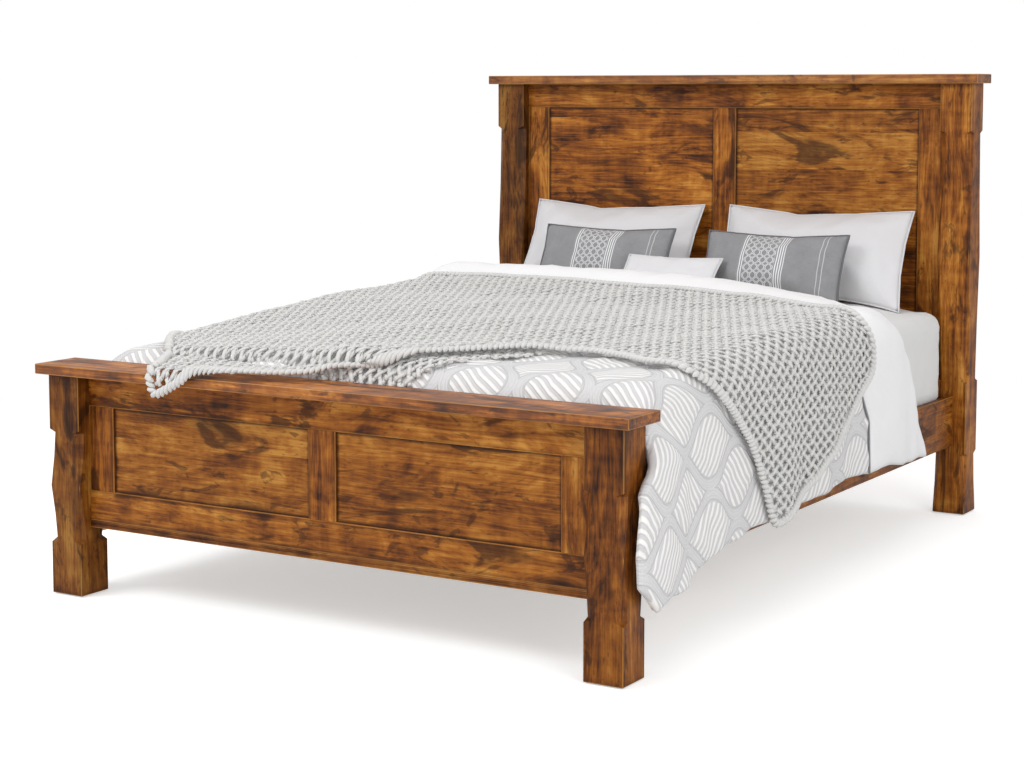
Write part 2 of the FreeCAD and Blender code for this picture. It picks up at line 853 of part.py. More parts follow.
def make_slat(label, index):
    """One slat across the ledgers, with a countersunk hole at each end."""
    body = new_body(label)
    length = Layout.slat_length
    sketch = sketch_on(body, "YZ_Plane")
    outline(sketch, eased_section(S["slat_width"], S["slat_thickness"]))
    pad(body, sketch, length)
    end = S["ledger_width"] / 2 - S["slat_end_gap"]
    top = sketch_on(body, "XY_Plane", (0, 0, S["slat_thickness"]))
    for x in (end, length - end):
        circle(top, x, S["slat_width"] / 2, Layout.hole_radius)
    sunk_holes(body, top, S["slat_thickness"])
    y = Layout.inside_foot + Layout.slat_first + index * Layout.slat_pitch - S["slat_width"] / 2
    place(body, -length / 2, y, S["slat_floor"])


# ---------------------------------------------------------------- centre support


def make_centre_beam():
    """The beam under the middle of the slats, bored for the round tenons of its two legs."""
    body = new_body("centre_beam")
    wide = S["beam_width"]
    start = Layout.foot_frame_back + S["bracket_sheet"] + S["beam_end_gap"]
    end = Layout.head_frame_front - S["bracket_sheet"] - S["beam_end_gap"]
    box_pad(body, "XY_Plane", (-wide / 2, 0, 0), wide, end - start, S["beam_height"])
    under = sketch_on(body, "XY_Plane")
    for side in (-1, 1):
        y = Layout.inside_middle - start + side * S["leg_spacing"] / 2
        circle(under, 0, y, S["leg_tenon_radius"] + S["screw_gap"])
    pocket(body, under, S["leg_tenon_length"] + S["pilot_play"], along_normal=True)
    place(body, 0, start, Layout.beam_floor)


def make_support_leg(label, side):
    """A square leg with a round tenon on top and a bore for the insert and the stud."""
    body = new_body(label)
    wide = S["leg_width"]
    height = Layout.beam_floor - Layout.leg_floor
    block = box_pad(body, "XY_Plane", (-wide / 2, -wide / 2, 0), wide, wide, height)
    foot_edges = edge_names(block, lambda edge: edge.BoundBox.ZMax < 1)
    ease = body.newObject("PartDesign::Chamfer", f"{label}_ease")
    ease.Base = (block, foot_edges)
    bind(ease, "Size", S["leg_foot_chamfer"])
    top = sketch_on(body, "XY_Plane", (0, 0, height))
    circle(top, 0, 0, S["leg_tenon_radius"])
    pad(body, top, S["leg_tenon_length"])
    foot = sketch_on(body, "XY_Plane")
    circle(foot, 0, 0, S["insert_radius"] + S["screw_gap"])
    seat_depth = S["insert_length"] - S["insert_flange"]
    pocket(body, foot, seat_depth, along_normal=True)
    deep = sketch_on(body, "XY_Plane")
    circle(deep, 0, 0, S["stud_radius"] + 1)
    pocket(body, deep, S["stud_length"] + S["pilot_play"], along_normal=True)
    y = Layout.inside_middle + side * S["leg_spacing"] / 2
    place(body, 0, y, Layout.leg_floor)


def make_leveller(label, side):
    """A screw leveller: a round foot and its stud, turned as one."""
    radius = S["leveller_radius"]
    base = S["leveller_base"]
    slope = S["leveller_slope"]
    body = revolved(
        label,
        [
            (0, 0),
            (radius, 0),
            (radius, base - slope),
            (radius - slope, base),
            (S["stud_radius"], base),
            (S["stud_radius"], base + S["stud_length"]),
            (0, base + S["stud_length"]),
        ],
    )
    place(body, 0, Layout.inside_middle + side * S["leg_spacing"] / 2, 0)


def make_leg_inserts():
    """The flanged inserts that the studs run in."""
    bore = S["stud_radius"] + S["stud_gap"]
    master = revolved(
        "insert_master",
        [
            (bore, 0),
            (S["insert_flange_radius"], 0),
            (S["insert_flange_radius"], S["insert_flange"]),
            (S["insert_radius"], S["insert_flange"]),
            (S["insert_radius"], S["insert_length"]),
            (bore, S["insert_length"]),
        ],
    )
    z = Layout.leg_floor - S["insert_flange"]
    offset = S["leg_spacing"] / 2
    places = [spot(0, Layout.inside_middle + side * offset, z) for side in (-1, 1)]
    grouped("leg_inserts", master, places)


def bracket_screw_places():
    """Where the bracket's screws stand, from its middle and its lower edge."""
    across = S["beam_width"] / 2 + S["bracket_gap"] + S["bracket_sheet"] + S["bracket_flange"] / 2
    return [(side * across, S["bracket_height"] / 2) for side in (-1, 1)]


def make_beam_brackets():
    """The folded steel cups that carry the beam's ends."""
    body = new_body("bracket_master")
    sheet = S["bracket_sheet"]
    inner = S["beam_width"] / 2 + S["bracket_gap"]
    outer = inner + sheet
    wing = outer + S["bracket_flange"]
    tall = S["bracket_height"]
    box_pad(body, "XZ_Plane", (-wing, 0, -sheet), 2 * wing, tall, sheet)
    cup = sketch_on(body, "XZ_Plane", (-outer, 0, -S["bracket_depth"]))
    wide = 2 * outer
    rim = tall - sheet
    outline(
        cup,
        [(0, 0), (wide, 0), (wide, rim), (wide - sheet, rim), (wide - sheet, sheet), (sheet, sheet)]
        + [(sheet, rim), (0, rim)],
    )
    pad(body, cup, S["bracket_depth"] - sheet)
    face = sketch_on(body, "XZ_Plane", (0, 0, -sheet))
    for x, rise in bracket_screw_places():
        circle(face, x, rise, Layout.hole_radius)
    hole = sunk_holes(body, face, sheet)
    hole.Reversed = True
    volume_before_and_after(face, hole)
    z = Layout.beam_floor - sheet
    foot_end = spot(0, Layout.foot_frame_back, z)
    head_end = spot(0, Layout.head_frame_front, z, turn=180)
    grouped("beam_brackets", body, [foot_end, head_end])


# ---------------------------------------------------------------- fastenings


def make_rail_hook_plates():
    """Plates let into the rail ends; each carries two hooks that drop behind the post plate."""
    body = new_body("hook_plate_master")
    wide = S["plate_width"]
    thick = S["plate_thickness"]
    box_pad(body, "XZ_Plane", (-wide / 2, 0, 0), wide, S["plate_height"], thick)
    face = sketch_on(body, "XZ_Plane")
    for rise in (S["plate_screw_end"], S["plate_height"] - S["plate_screw_end"]):
        circle(face, 0, rise, Layout.hole_radius)
    hole = sunk_holes(body, face, thick)
    hole.Reversed = True
    volume_before_and_after(face, hole)
    # the hook's outline stands in the YZ plane: neck through the slot, lip down behind it
    floor = slot_floor() + S["slot_gap"]
    neck = thick + S["slot_gap"]
    nose = neck + S["hook_lip"]
    hook = sketch_on(body, "YZ_Plane", (0, floor - S["hook_drop"], -S["hook_thickness"] / 2))
    top = S["hook_drop"] + S["hook_neck"]
    drop = S["hook_drop"]
    outline(hook, [(0, drop), (neck, drop), (neck, 0), (nose, 0), (nose, top), (0, top)])
    first = pad(body, hook, S["hook_thickness"])
    row_of(body, first, "Z_Axis", S["hook_spacing"], as_size(2))
    z = Layout.plate_floor
    places = []
    for side in (-1, 1):
        x = side * Layout.rail_centre
        places.append(spot(x, Layout.inside_foot, z, turn=180))
        places.append(spot(x, Layout.inside_head, z))
    grouped("rail_hook_plates", body, places)


def make_post_slot_plates():
    """Slotted plates let into the posts; the hooks drop into them."""
    body = new_body("slot_plate_master")
    wide = S["plate_width"]
    thick = S["plate_thickness"]
    box_pad(body, "XZ_Plane", (-wide / 2, 0, -thick), wide, S["plate_height"], thick)
    slot_wide = S["hook_thickness"] + 2 * S["slot_gap"]
    slot = sketch_on(body, "XZ_Plane", (-slot_wide / 2, slot_floor(), -thick))
    outline(slot, rectangle(0, slot_wide, 0, S["slot_height"]))
    first = pocket(body, slot, thick, along_normal=True)
    volume_before_and_after(slot, first)
    row_of(body, first, "Z_Axis", S["hook_spacing"], as_size(2))
    face = sketch_on(body, "XZ_Plane")
    for rise in (S["plate_screw_end"], S["plate_height"] - S["plate_screw_end"]):
        circle(face, 0, rise, Layout.hole_radius)
    hole = sunk_holes(body, face, thick)
    volume_before_and_after(face, hole)
    z = Layout.plate_floor
    places = []
    for side in (-1, 1):
        x = side * Layout.rail_centre
        places.append(spot(x, Layout.inside_foot, z, turn=180))
        places.append(spot(x, Layout.inside_head, z))
    grouped("post_slot_plates", body, places)


def screw_master(label, length):
    """A countersunk wood screw, head up at the origin."""
    shank = S["screw_radius"]
    head = S["screw_head_radius"]
    start = length - (head - shank)
    body = revolved(
        label,
        [(0, 0), (shank, S["screw_tip"]), (shank, start), (head, length), (0, length)],
    )
    return body


def screws(label, length, heads):
    """A group of screws: each head lies at its place, its shank along the given turn."""
    master = screw_master(f"{label}_master", length)
    places = []
    for head in heads:
        sink = Placement(Vector(0, 0, -length.number), Rotation())
        places.append(head.multiply(sink))
    grouped(label, master, places)


def make_screws():
    """All the screws, in groups of one kind and length."""
    x_axis = Vector(1, 0, 0)
    y_axis = Vector(0, 1, 0)
    slat_heads = []
    for index in range(int(S["slat_count"].number)):
        y = Layout.inside_foot + Layout.slat_first + index * Layout.slat_pitch
        for side in (-1, 1):
            x = side * (Layout.inside_width - S["ledger_width"]) / 2
            slat_heads.append(spot(x, y, Layout.slat_top))
    screws("slat_screws", S["slat_screw_length"], slat_heads)

    ledger_heads = []
    for index in range(int(S["ledger_screw_count"].number)):
        y = Layout.inside_foot + ledger_screw_start() + index * Layout.ledger_screw_pitch
        z = Layout.ledger_floor + S["ledger_screw_rise"]
        for side in (-1, 1):
            x = side * (Layout.inside_width / 2 - S["ledger_width"])
            ledger_heads.append(spot(x, y, z, turn=-90 * side, axis=y_axis))
    screws("ledger_screws", S["ledger_screw_length"], ledger_heads)

    plate_heads = []
    for side in (-1, 1):
        x = side * Layout.rail_centre
        for rise in (S["plate_screw_end"], S["plate_height"] - S["plate_screw_end"]):
            z = Layout.plate_floor + rise
            for y in (Layout.inside_foot, Layout.inside_head):
                for turn in (-90, 90):
                    plate_heads.append(spot(x, y, z, turn=turn, axis=x_axis))
    screws("plate_screws", S["plate_screw_length"], plate_heads)

    bracket_heads = []
    for x, rise in bracket_screw_places():
        z = Layout.beam_floor - S["bracket_sheet"] + rise
        foot_y = Layout.foot_frame_back + S["bracket_sheet"]
        head_y = Layout.head_frame_front - S["bracket_sheet"]
        bracket_heads.append(spot(x, foot_y, z, turn=-90, axis=x_axis))
        bracket_heads.append(spot(x, head_y, z, turn=90, axis=x_axis))
    screws("bracket_screws", S["bracket_screw_length"], bracket_heads)


def drill_frame_for_bracket(label, from_front):
    """Pilot holes for the bracket's screws in a frame's bottom rail."""
    body = doc.getObjectsByLabel(label)[0]
    depth = S["bracket_screw_length"] - S["bracket_sheet"] + S["pilot_play"]
    face = as_size(0) if from_front else S["frame_thickness"]
    floor = S["head_frame_floor"] if from_front else S["foot_frame_floor"] + S["moulding_height"]
    rise = Layout.beam_floor - S["bracket_sheet"] - floor
    pilots = sketch_on(body, "XZ_Plane", (Layout.between_posts / 2, rise, -face))
    for x, height in bracket_screw_places():
        circle(pilots, x, height, Layout.hole_radius)
    cut = pocket(body, pilots, depth, along_normal=not from_front)
    volume_before_and_after(pilots, cut)


def make_post_glides():
    """Round glides nailed under the posts."""
    nail = S["glide_nail_radius"]
    tall = S["glide_height"]
    edge = S["glide_radius"]
    master = revolved(
        "glide_master",
        [
            (0, 0),
            (edge - 1, 0),
            (edge, 1),
            (edge, tall),
            (nail, tall),
            (nail, tall + S["glide_nail_length"]),
            (0, tall + S["glide_nail_length"]),
        ],
    )
    half = S["post_width"] / 2
    places = []
    for side in (-1, 1):
        for y in (Layout.front + half, Layout.inside_head + half):
            places.append(spot(side * Layout.post_centre, y, 0))
    grouped("post_glides", master, places)


# ---------------------------------------------------------------- bedding, kept plain


def make_mattress():
    body = new_body("mattress")
    wide = S["mattress_width"]
    block = box_pad(
        body, "XY_Plane", (-wide / 2, 0, 0), wide, S["mattress_length"], S["mattress_thickness"]
    )
    upright = rounded(
        body,
        block,
        S["mattress_corner_round"],
        lambda edge: edge.BoundBox.ZLength > 1,
    )
    flat_edges = edge_names(upright, lambda edge: edge.BoundBox.ZLength < 1)
    bevel = body.newObject("PartDesign::Chamfer", "mattress_bevel")
    bevel.Base = (upright, flat_edges)
    bind(bevel, "Size", S["mattress_edge_bevel"])
    place(body, 0, Layout.inside_foot + S["end_gap"], Layout.slat_top)


def cover_section(hem):
    """Section across a cover that lies over the mattress and hangs down both sides."""
    wide = 2 * Layout.drop_outer
    side = S["drop_thickness"]
    bevel = S["drop_corner"]
    top = Layout.cover_top - hem
    under = Layout.cover_floor - hem
    return [
        (0, 0),
        (side, 0),
        (side, under),
        (wide - side, under),
        (wide - side, 0),
        (wide, 0),
        (wide, top - bevel),
        (wide - bevel, top),
        (bevel, top),
        (0, top - bevel),
    ]


def make_comforter():
    """The quilted comforter; its side hems rise towards the head, where the drops end before the top does."""
    body = new_body("comforter")
    hem = S["comforter_hem_foot"]
    length = Layout.comforter_length
    section = sketch_on(body, "YZ_Plane")
    outline(section, cover_section(hem))
    pad(body, section, length)
    rise = S["comforter_hem_head"] - hem
    below = sketch_on(body, "XZ_Plane", (0, -5, -Layout.drop_outer))
    outline(below, [(0, 0), (length, 0), (length, rise + 5), (0, 5)])
    pocket(body, below, 3 * Layout.drop_outer, both_ways=True)
    behind = sketch_on(body, "XZ_Plane", (0, 0, -Layout.drop_outer))
    knee = S["duvet_slant_top"] - hem
    side_end = length - S["comforter_side_back"]
    outline(behind, [(side_end, -5), (length + 5, -5), (length + 5, knee), (side_end, knee)])
    pocket(body, behind, 3 * Layout.drop_outer, both_ways=True)
    place(body, Layout.drop_outer, Layout.comforter_foot, hem, turn=90)


def make_duvet():
    """The white duvet turned back at the head; its drops begin where the comforter's end and run on."""
    body = new_body("duvet")
    hem = S["duvet_hem"]
    early = S["comforter_side_back"]
    length = S["duvet_drop_length"] + early
    section = sketch_on(body, "YZ_Plane")
    outline(section, cover_section(hem))
    pad(body, section, length)
    top = Layout.cover_top - hem + 5
    knee = S["duvet_slant_top"] - hem
    away = sketch_on(body, "XZ_Plane", (0, 0, -Layout.drop_outer))
    band = S["duvet_length"] + early
    outline(away, [(band, top), (band, knee), (length, 0), (length + 5, 0), (length + 5, top)])
    pocket(body, away, 3 * Layout.drop_outer, both_ways=True)
    under_comforter = sketch_on(body, "XZ_Plane", (0, 0, -Layout.drop_outer))
    ceiling = knee - S["soft_gap"]
    outline(under_comforter, [(-5, ceiling), (early, ceiling), (early, top), (-5, top)])
    pocket(body, under_comforter, 3 * Layout.drop_outer, both_ways=True)
    place(body, Layout.drop_outer, Layout.comforter_head - early + S["soft_gap"], hem, turn=90)


def make_throw():
    """The openwork throw, lying askew: over the bed, down its right side to a point, and over the cap."""
    body = new_body("throw")
    thick = S["throw_thickness"]
    floor = Layout.cover_top + S["soft_gap"]
    foot = Layout.comforter_foot
    inner = Layout.drop_outer + S["soft_gap"]
    outer = inner + thick
    left = -Layout.drop_outer + S["throw_left_inset"]
    head = Layout.comforter_length - S["throw_head_gap"]
    right_head = Layout.comforter_length - S["throw_right_head_gap"]
    lap_left = left + S["throw_lap_left"]
    lap_right = left + S["throw_lap_right"]
    plan = sketch_on(body, "XY_Plane", (0, 0, floor))
    outline(
        plan,
        [
            (left, S["throw_left_front"]),
            (lap_left, 0),
            (lap_right, 0),
            (left + S["throw_edge_low_across"], S["throw_edge_low"]),
            (left + S["throw_edge_middle_across"], S["throw_edge_middle"]),
            (left + S["throw_edge_high_across"], S["throw_edge_high"]),
            (outer, S["throw_drop_front"]),
            (outer, right_head),
            (left, head),
        ],
    )
    pad(body, plan, thick)
    side = sketch_on(body, "YZ_Plane", (0, 0, inner))
    top = floor + thick
    outline(
        side,
        [
            (S["throw_drop_front"], top),
            (S["throw_drop_waist"], S["throw_drop_waist_floor"]),
            (S["throw_drop_tip"], S["throw_drop_tip_floor"]),
            (S["throw_drop_tip_back"], S["throw_drop_tip_floor"]),
            (S["throw_drop_back"], S["throw_drop_back_floor"]),
            (right_head, top),
        ],
    )
    pad(body, side, thick)
    lap_floor = S["foot_height"] + S["soft_gap"]
    lap = sketch_on(body, "YZ_Plane", (0, 0, lap_left))
    front = -S["throw_lap_front"]
    behind = S["end_gap"] - S["comforter_foot_gap"] - S["soft_gap"]
    outline(
        lap,
        [
            (front, lap_floor),
            (behind, lap_floor),
            (behind, floor),
            (thick, floor),
            (thick, top),
            (behind - thick, top),
            (behind - thick, lap_floor + thick),
            (front, lap_floor + thick),
        ],
    )
    pad(body, lap, lap_right - lap_left)
    place(body, 0, foot, 0)


def lens_radius(length, thickness):
    """Radius of the two arcs that make a lens of this length and thickness."""
    return (length * length + thickness * thickness) / (4 * thickness)


def lens(label, length, thickness, turn):
    """A closed outline of two arcs, from tip to tip."""
    sketch = doc.addObject("Sketcher::SketchObject", label)
    sketch.Placement = turn
    long = length.number
    bulge = thickness.number / 2
    ends = (Vector(0, 0, 0), Vector(long, 0, 0))
    for rise in (bulge, -bulge):
        middle = Vector(long / 2, rise, 0)
        sketch.addGeometry(Part.Arc(ends[0], middle, ends[1]))
    radius = lens_radius(length, thickness)
    for index in (0, 1):
        for corner in (1, 2):
            x = sketch.getPoint(index, corner).x
            hold_point(sketch, index, corner, length if x > long / 2 else 0, 0)
        rule = Sketcher.Constraint("Radius", index, radius.number)
        bind(sketch, f"Constraints[{sketch.addConstraint(rule)}]", radius)
    return sketch


def extruded(sketch, label, direction, length):
    solid = doc.addObject("Part::Extrusion", label)
    solid.Base = sketch
    solid.DirMode = "Custom"
    solid.Dir = direction
    solid.Solid = True
    solid.Symmetric = True
    bind(solid, "LengthFwd", length)
    return solid


def make_pillow(label, width, length, thickness, rise, x, y, z):
    """A stuffed form, thick in the middle and thin along all four edges, leaning back from its lower edge."""
    upright = Placement(Vector(), Rotation(Vector(0, 0, 1), Vector(1, 0, 0), Vector(0, 1, 0), "ZXY"))
    along = lens(f"{label}_side", length, thickness, upright)
    along.Placement = Placement(Vector(), Rotation(Vector(0, 1, 0), Vector(0, 0, 1), Vector(1, 0, 0)))
    across = lens(f"{label}_front", width, thickness, upright)
    across.Placement = Placement(Vector(), Rotation(Vector(1, 0, 0), 90))
    bind(across, "Placement.Base.x", -width / 2)
    side_solid = extruded(along, f"{label}_side_solid", Vector(1, 0, 0), width)
    front_solid = extruded(across, f"{label}_front_solid", Vector(0, 1, 0), 3 * length)
    pillow = doc.addObject("Part::Common", label)
    pillow.Label = label
    pillow.Base = side_solid
    pillow.Tool = front_solid
    pillow.Placement = Placement(Vector(), Rotation(Vector(1, 0, 0), rise.number))
    bind(pillow, "Placement.Rotation.Angle", rise)
    for name, distance in (("x", x), ("y", y), ("z", z)):
        bind(pillow, f"Placement.Base.{name}", distance)


def arc_centre(y, z, length, thickness, rise, front):
    """Centre of a leaning pillow's front or back arc, as seen from the side."""
    sink = lens_radius(length, thickness) - thickness / 2
    middle_y = y + cosine(rise) * length / 2
    middle_z = z + sine(rise) * length / 2
    if front:
        return middle_y + sine(rise) * sink, middle_z - cosine(rise) * sink
    return middle_y - sine(rise) * sink, middle_z + cosine(rise) * sink


def leaning_against(behind, z, length, thickness, rise):
    """Y of the lower edge of a cushion that leans on the pillow behind it, the soft gap between them."""
    back_y, back_z, back_radius = behind
    own_y, own_z = arc_centre(as_size(0), z, length, thickness, rise, front=False)
    reach = back_radius + lens_radius(length, thickness) + S["soft_gap"]
    drop = own_z - back_z
    return back_y - root(reach * reach - drop * drop) - own_y


def make_pillows():
    """Two sleeping pillows on the headboard, two cushions on them and a small one in front."""
    floor = Layout.cover_floor
    rise = S["pillow_rise"]
    length = S["pillow_length"]
    thick = S["pillow_thickness"]
    back_y, _ = arc_centre(as_size(0), floor, length, thick, rise, front=False)
    y = Layout.head_frame_front - S["soft_gap"] - back_y - lens_radius(length, thick)
    for side, name in ((-1, "left"), (1, "right")):
        x = side * S[f"pillow_{name}_centre"]
        make_pillow(f"pillow_{name}", S["pillow_width"], length, thick, rise, x, y, floor)
    front = arc_centre(y, floor, length, thick, rise, front=True)
    behind = (*front, lens_radius(length, thick))

    rise = S["cushion_rise"]
    length = S["cushion_length"]
    thick = S["cushion_thickness"]
    y = leaning_against(behind, floor, length, thick, rise)
    for side, name in ((-1, "left"), (1, "right")):
        x = side * S[f"cushion_{name}_centre"]
        make_pillow(f"cushion_{name}", S["cushion_width"], length, thick, rise, x, y, floor)
    front = arc_centre(y, floor, length, thick, rise, front=True)
    behind = (*front, lens_radius(length, thick))

    rise = S["small_cushion_rise"]
    length = S["small_cushion_length"]
    thick = S["small_cushion_thickness"]
    floor = Layout.cover_top + S["soft_gap"]
    y = leaning_against(behind, floor, length, thick, rise)
    x = S["small_cushion_centre"]
    make_pillow("cushion_small", S["small_cushion_width"], length, thick, rise, x, y, floor)


# ---------------------------------------------------------------- the whole bed


def build():
    """Makes every piece of the bed."""
    for side, name in ((-1, "left"), (1, "right")):
        make_foot_post(f"foot_post_{name}", side)
        make_head_post(f"head_post_{name}", side)
        make_side_rail(f"side_rail_{name}", side)
        make_ledger(f"ledger_{name}", side)
    foot_rail_floor = S["foot_frame_floor"] + S["moulding_height"]
    make_frame(
        "foot",
        Layout.foot_frame_front,
        foot_rail_floor,
        Layout.foot_cap_floor,
        S["foot_bottom_rail"],
        S["foot_top_rail"],
    )
    make_frame(
        "head",
        Layout.head_frame_front,
        S["head_frame_floor"],
        Layout.head_cap_floor,
        S["head_bottom_rail"],
        S["head_top_rail"],
    )
    drill_frame_for_bracket("foot_bottom_rail", False)
    drill_frame_for_bracket("head_bottom_rail", True)
    make_base_moulding()
    foot_cap_depth = S["post_width"] + 2 * S["cap_overhang"]
    head_cap_depth = S["post_width"] + S["cap_overhang"]
    front = Layout.front - S["cap_overhang"]
    make_cap("foot_cap", front, Layout.foot_cap_floor, foot_cap_depth, S["foot_cap_thickness"])
    front = Layout.inside_head - S["cap_overhang"]
    make_cap("head_cap", front, Layout.head_cap_floor, head_cap_depth, S["head_cap_thickness"])
    for index in range(int(S["slat_count"].number)):
        make_slat(f"slat_{index + 1:02d}", index)
    make_centre_beam()
    for side, name in ((-1, "foot_end"), (1, "head_end")):
        make_support_leg(f"support_leg_{name}", side)
        make_leveller(f"leveller_{name}", side)
    make_leg_inserts()
    make_beam_brackets()
    make_rail_hook_plates()
    make_post_slot_plates()
    make_screws()
    make_post_glides()
    make_mattress()
    make_comforter()
    make_duvet()
    make_throw()
    make_pillows()


def is_node(item):
    """Whether a document object is a sub-part of its own, not a step in making one."""
    if item.Label.endswith("_master"):
        return False
    if item.TypeId in ("PartDesign::Body", "Part::Box", "Part::Common", "Part::Feature"):
        return True
    return False


def check(items):
    """Stops where an object failed or a sub-part has no sound shape."""
    for item in doc.Objects:
        if "Invalid" in item.State or "Error" in item.State:
            raise ValueError(f"{item.Label} failed: {item.State}")
    for item in items:
        if item.Shape.isNull() or not item.Shape.isValid():
            raise ValueError(f"{item.Label} has no sound shape")


def write(items):
    """Writes each sub-part to its own file."""
    os.makedirs("parts", exist_ok=True)
    for item in items:
        item.Shape.exportStep(os.path.join("parts", f"{item.Label}.step"))


build()
doc.recompute()
nodes = [item for item in doc.Objects if is_node(item)]
check(nodes)
write(nodes)
print(f"{len(nodes)} sub-parts")
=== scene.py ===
"""The looks of a rustic panel bed, made up with its bedding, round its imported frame.

Everything is in metres: X across the bed, Y from the footboard to the headboard, Z up, the origin on the
floor under the middle. The wood and the fittings are the frame's own nodes with stained, planed and plated
finishes. The bedding is made here and stands for the frame's plain soft solids.
"""

import math

import bpy
import numpy as np
from mathutils import Matrix, Vector


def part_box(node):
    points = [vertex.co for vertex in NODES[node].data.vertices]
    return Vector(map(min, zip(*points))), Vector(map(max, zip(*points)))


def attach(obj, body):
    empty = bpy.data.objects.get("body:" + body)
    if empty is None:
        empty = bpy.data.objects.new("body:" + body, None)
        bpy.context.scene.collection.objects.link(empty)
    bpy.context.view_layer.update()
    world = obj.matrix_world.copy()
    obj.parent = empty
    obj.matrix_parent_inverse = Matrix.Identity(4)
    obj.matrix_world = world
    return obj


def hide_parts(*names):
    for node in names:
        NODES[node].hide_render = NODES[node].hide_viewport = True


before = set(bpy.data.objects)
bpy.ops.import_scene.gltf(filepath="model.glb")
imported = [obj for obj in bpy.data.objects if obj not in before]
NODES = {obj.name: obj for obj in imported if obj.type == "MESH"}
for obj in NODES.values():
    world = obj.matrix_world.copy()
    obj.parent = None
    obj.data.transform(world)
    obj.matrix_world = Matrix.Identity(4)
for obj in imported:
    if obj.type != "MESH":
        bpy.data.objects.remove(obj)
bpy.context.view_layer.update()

bl_info = {
    "name": "Panel bed",
    "version": (1, 0, 0),
    "blender": (4, 5, 0),
    "location": "View3D > Sidebar > Bed",
    "description": "Finishes and bedding of a rustic panel bed",
    "category": "Object",
}

BED = "bed"


# ---------------------------------------------------------------- shader maths


class Wire:
    """One socket of a material, with the arithmetic that a finish needs."""

    def __init__(self, finish, socket):
        self.finish = finish
        self.socket = socket

    def __add__(self, other):
        return self.finish.math("ADD", self, other)

    def __radd__(self, other):
        return self.finish.math("ADD", other, self)

    def __sub__(self, other):
        return self.finish.math("SUBTRACT", self, other)

    def __rsub__(self, other):
        return self.finish.math("SUBTRACT", other, self)

    def __mul__(self, other):
        return self.finish.math("MULTIPLY", self, other)

    def __rmul__(self, other):
        return self.finish.math("MULTIPLY", other, self)

    def __truediv__(self, other):
        return self.finish.math("DIVIDE", self, other)

    def __pow__(self, other):
        return self.finish.math("POWER", self, other)


class Finish:
    """A material and the nodes that make it."""

    def __init__(self, name):
        self.material = bpy.data.materials.new(name)
        self.material.use_nodes = True
        self.tree = self.material.node_tree
        self.tree.nodes.clear()

    def node(self, kind, settings=None, sockets=None, out=0):
        """Adds a node, sets it, fills its sockets with numbers or wires, and gives back one output."""
        node = self.tree.nodes.new(kind)
        for name, value in (settings or {}).items():
            if name == "stops":
                self.set_stops(node.color_ramp, value)
            else:
                setattr(node, name, value)
        for name, value in (sockets or {}).items():
            if isinstance(value, Wire):
                self.tree.links.new(value.socket, node.inputs[name])
            else:
                node.inputs[name].default_value = value
        return Wire(self, node.outputs[out]) if len(node.outputs) else None

    def set_stops(self, ramp, stops):
        while len(ramp.elements) < len(stops):
            ramp.elements.new(1.0)
        for element, (place, colour) in zip(ramp.elements, stops):
            element.position = place
            element.color = (*colour, 1.0)

    def math(self, operation, *terms):
        sockets = dict(enumerate(terms))
        return self.node("ShaderNodeMath", {"operation": operation}, sockets)

    def sine(self, angle):
        return self.math("SINE", angle)

    def floor(self, value):
        return self.math("FLOOR", value)

    def absolute(self, value):
        return self.math("ABSOLUTE", value)

    def least(self, first, second):
        return self.math("MINIMUM", first, second)

    def most(self, first, second):
        return self.math("MAXIMUM", first, second)

    def axes(self, source="Object"):
        """The three coordinates of a point on the piece."""
        place = self.node("ShaderNodeTexCoord", out=source)
        return [self.node("ShaderNodeSeparateXYZ", None, {0: place}, out=axis) for axis in "XYZ"]

    def join(self, x, y, z):
        return self.node("ShaderNodeCombineXYZ", None, {0: x, 1: y, 2: z})

    def noise(self, vector, scale=1.0, detail=2.0, roughness=0.5, distortion=0.0):
        sockets = {
            "Vector": vector,
            "Scale": scale,
            "Detail": detail,
            "Roughness": roughness,
            "Distortion": distortion,
        }
        return self.node("ShaderNodeTexNoise", None, sockets)

    def cells(self, vector, scale=1.0, feature="F1", randomness=1.0):
        sockets = {"Vector": vector, "Scale": scale, "Randomness": randomness}
        return self.node("ShaderNodeTexVoronoi", {"feature": feature}, sockets)

    def chance(self, number):
        """A random number from 0 to 1 that depends on a number."""
        return self.node("ShaderNodeTexWhiteNoise", {"noise_dimensions": "1D"}, {"W": number})

    def between(self, value, low, high, start=0.0, end=1.0):
        """A smooth step of the value: start at low, end at high."""
        sockets = {"Value": value, 1: low, 2: high, 3: start, 4: end}
        settings = {"interpolation_type": "SMOOTHSTEP"}
        return self.node("ShaderNodeMapRange", settings, sockets)

    def ramp(self, value, stops):
        return self.node("ShaderNodeValToRGB", {"stops": stops}, {0: value})

    def blend(self, share, first, second, how="MIX"):
        """Two colours mixed by a share from 0 to 1."""
        settings = {"data_type": "RGBA", "blend_type": how}
        return self.node("ShaderNodeMix", settings, {0: share, 6: paint(first), 7: paint(second)}, out=2)

    def bump(self, height, distance, strength=1.0):
        sockets = {"Height": height, "Distance": distance, "Strength": strength}
        return self.node("ShaderNodeBump", None, sockets, out="Normal")

    def surface(self, **sockets):
        """Closes the material with one shader, its sockets given by name with underscores for spaces."""
        named = {name.replace("_", " "): paint(value) for name, value in sockets.items()}
        shader = self.node("ShaderNodeBsdfPrincipled", None, named)
        self.node("ShaderNodeOutputMaterial", None, {"Surface": shader})
        return self.material


def paint(value):
    """A colour of three numbers as the four that a socket takes."""
    if isinstance(value, tuple) and len(value) == 3:
        return (*value, 1.0)
    return value


def shade(red, green, blue):
    """A colour given as a paint chart does, from 0 to 255, as the linear numbers a shader takes."""
    return tuple(((c / 255 + 0.055) / 1.055) ** 2.4 if c > 10 else c / 3294.6 for c in (red, green, blue))


# ---------------------------------------------------------------- wood


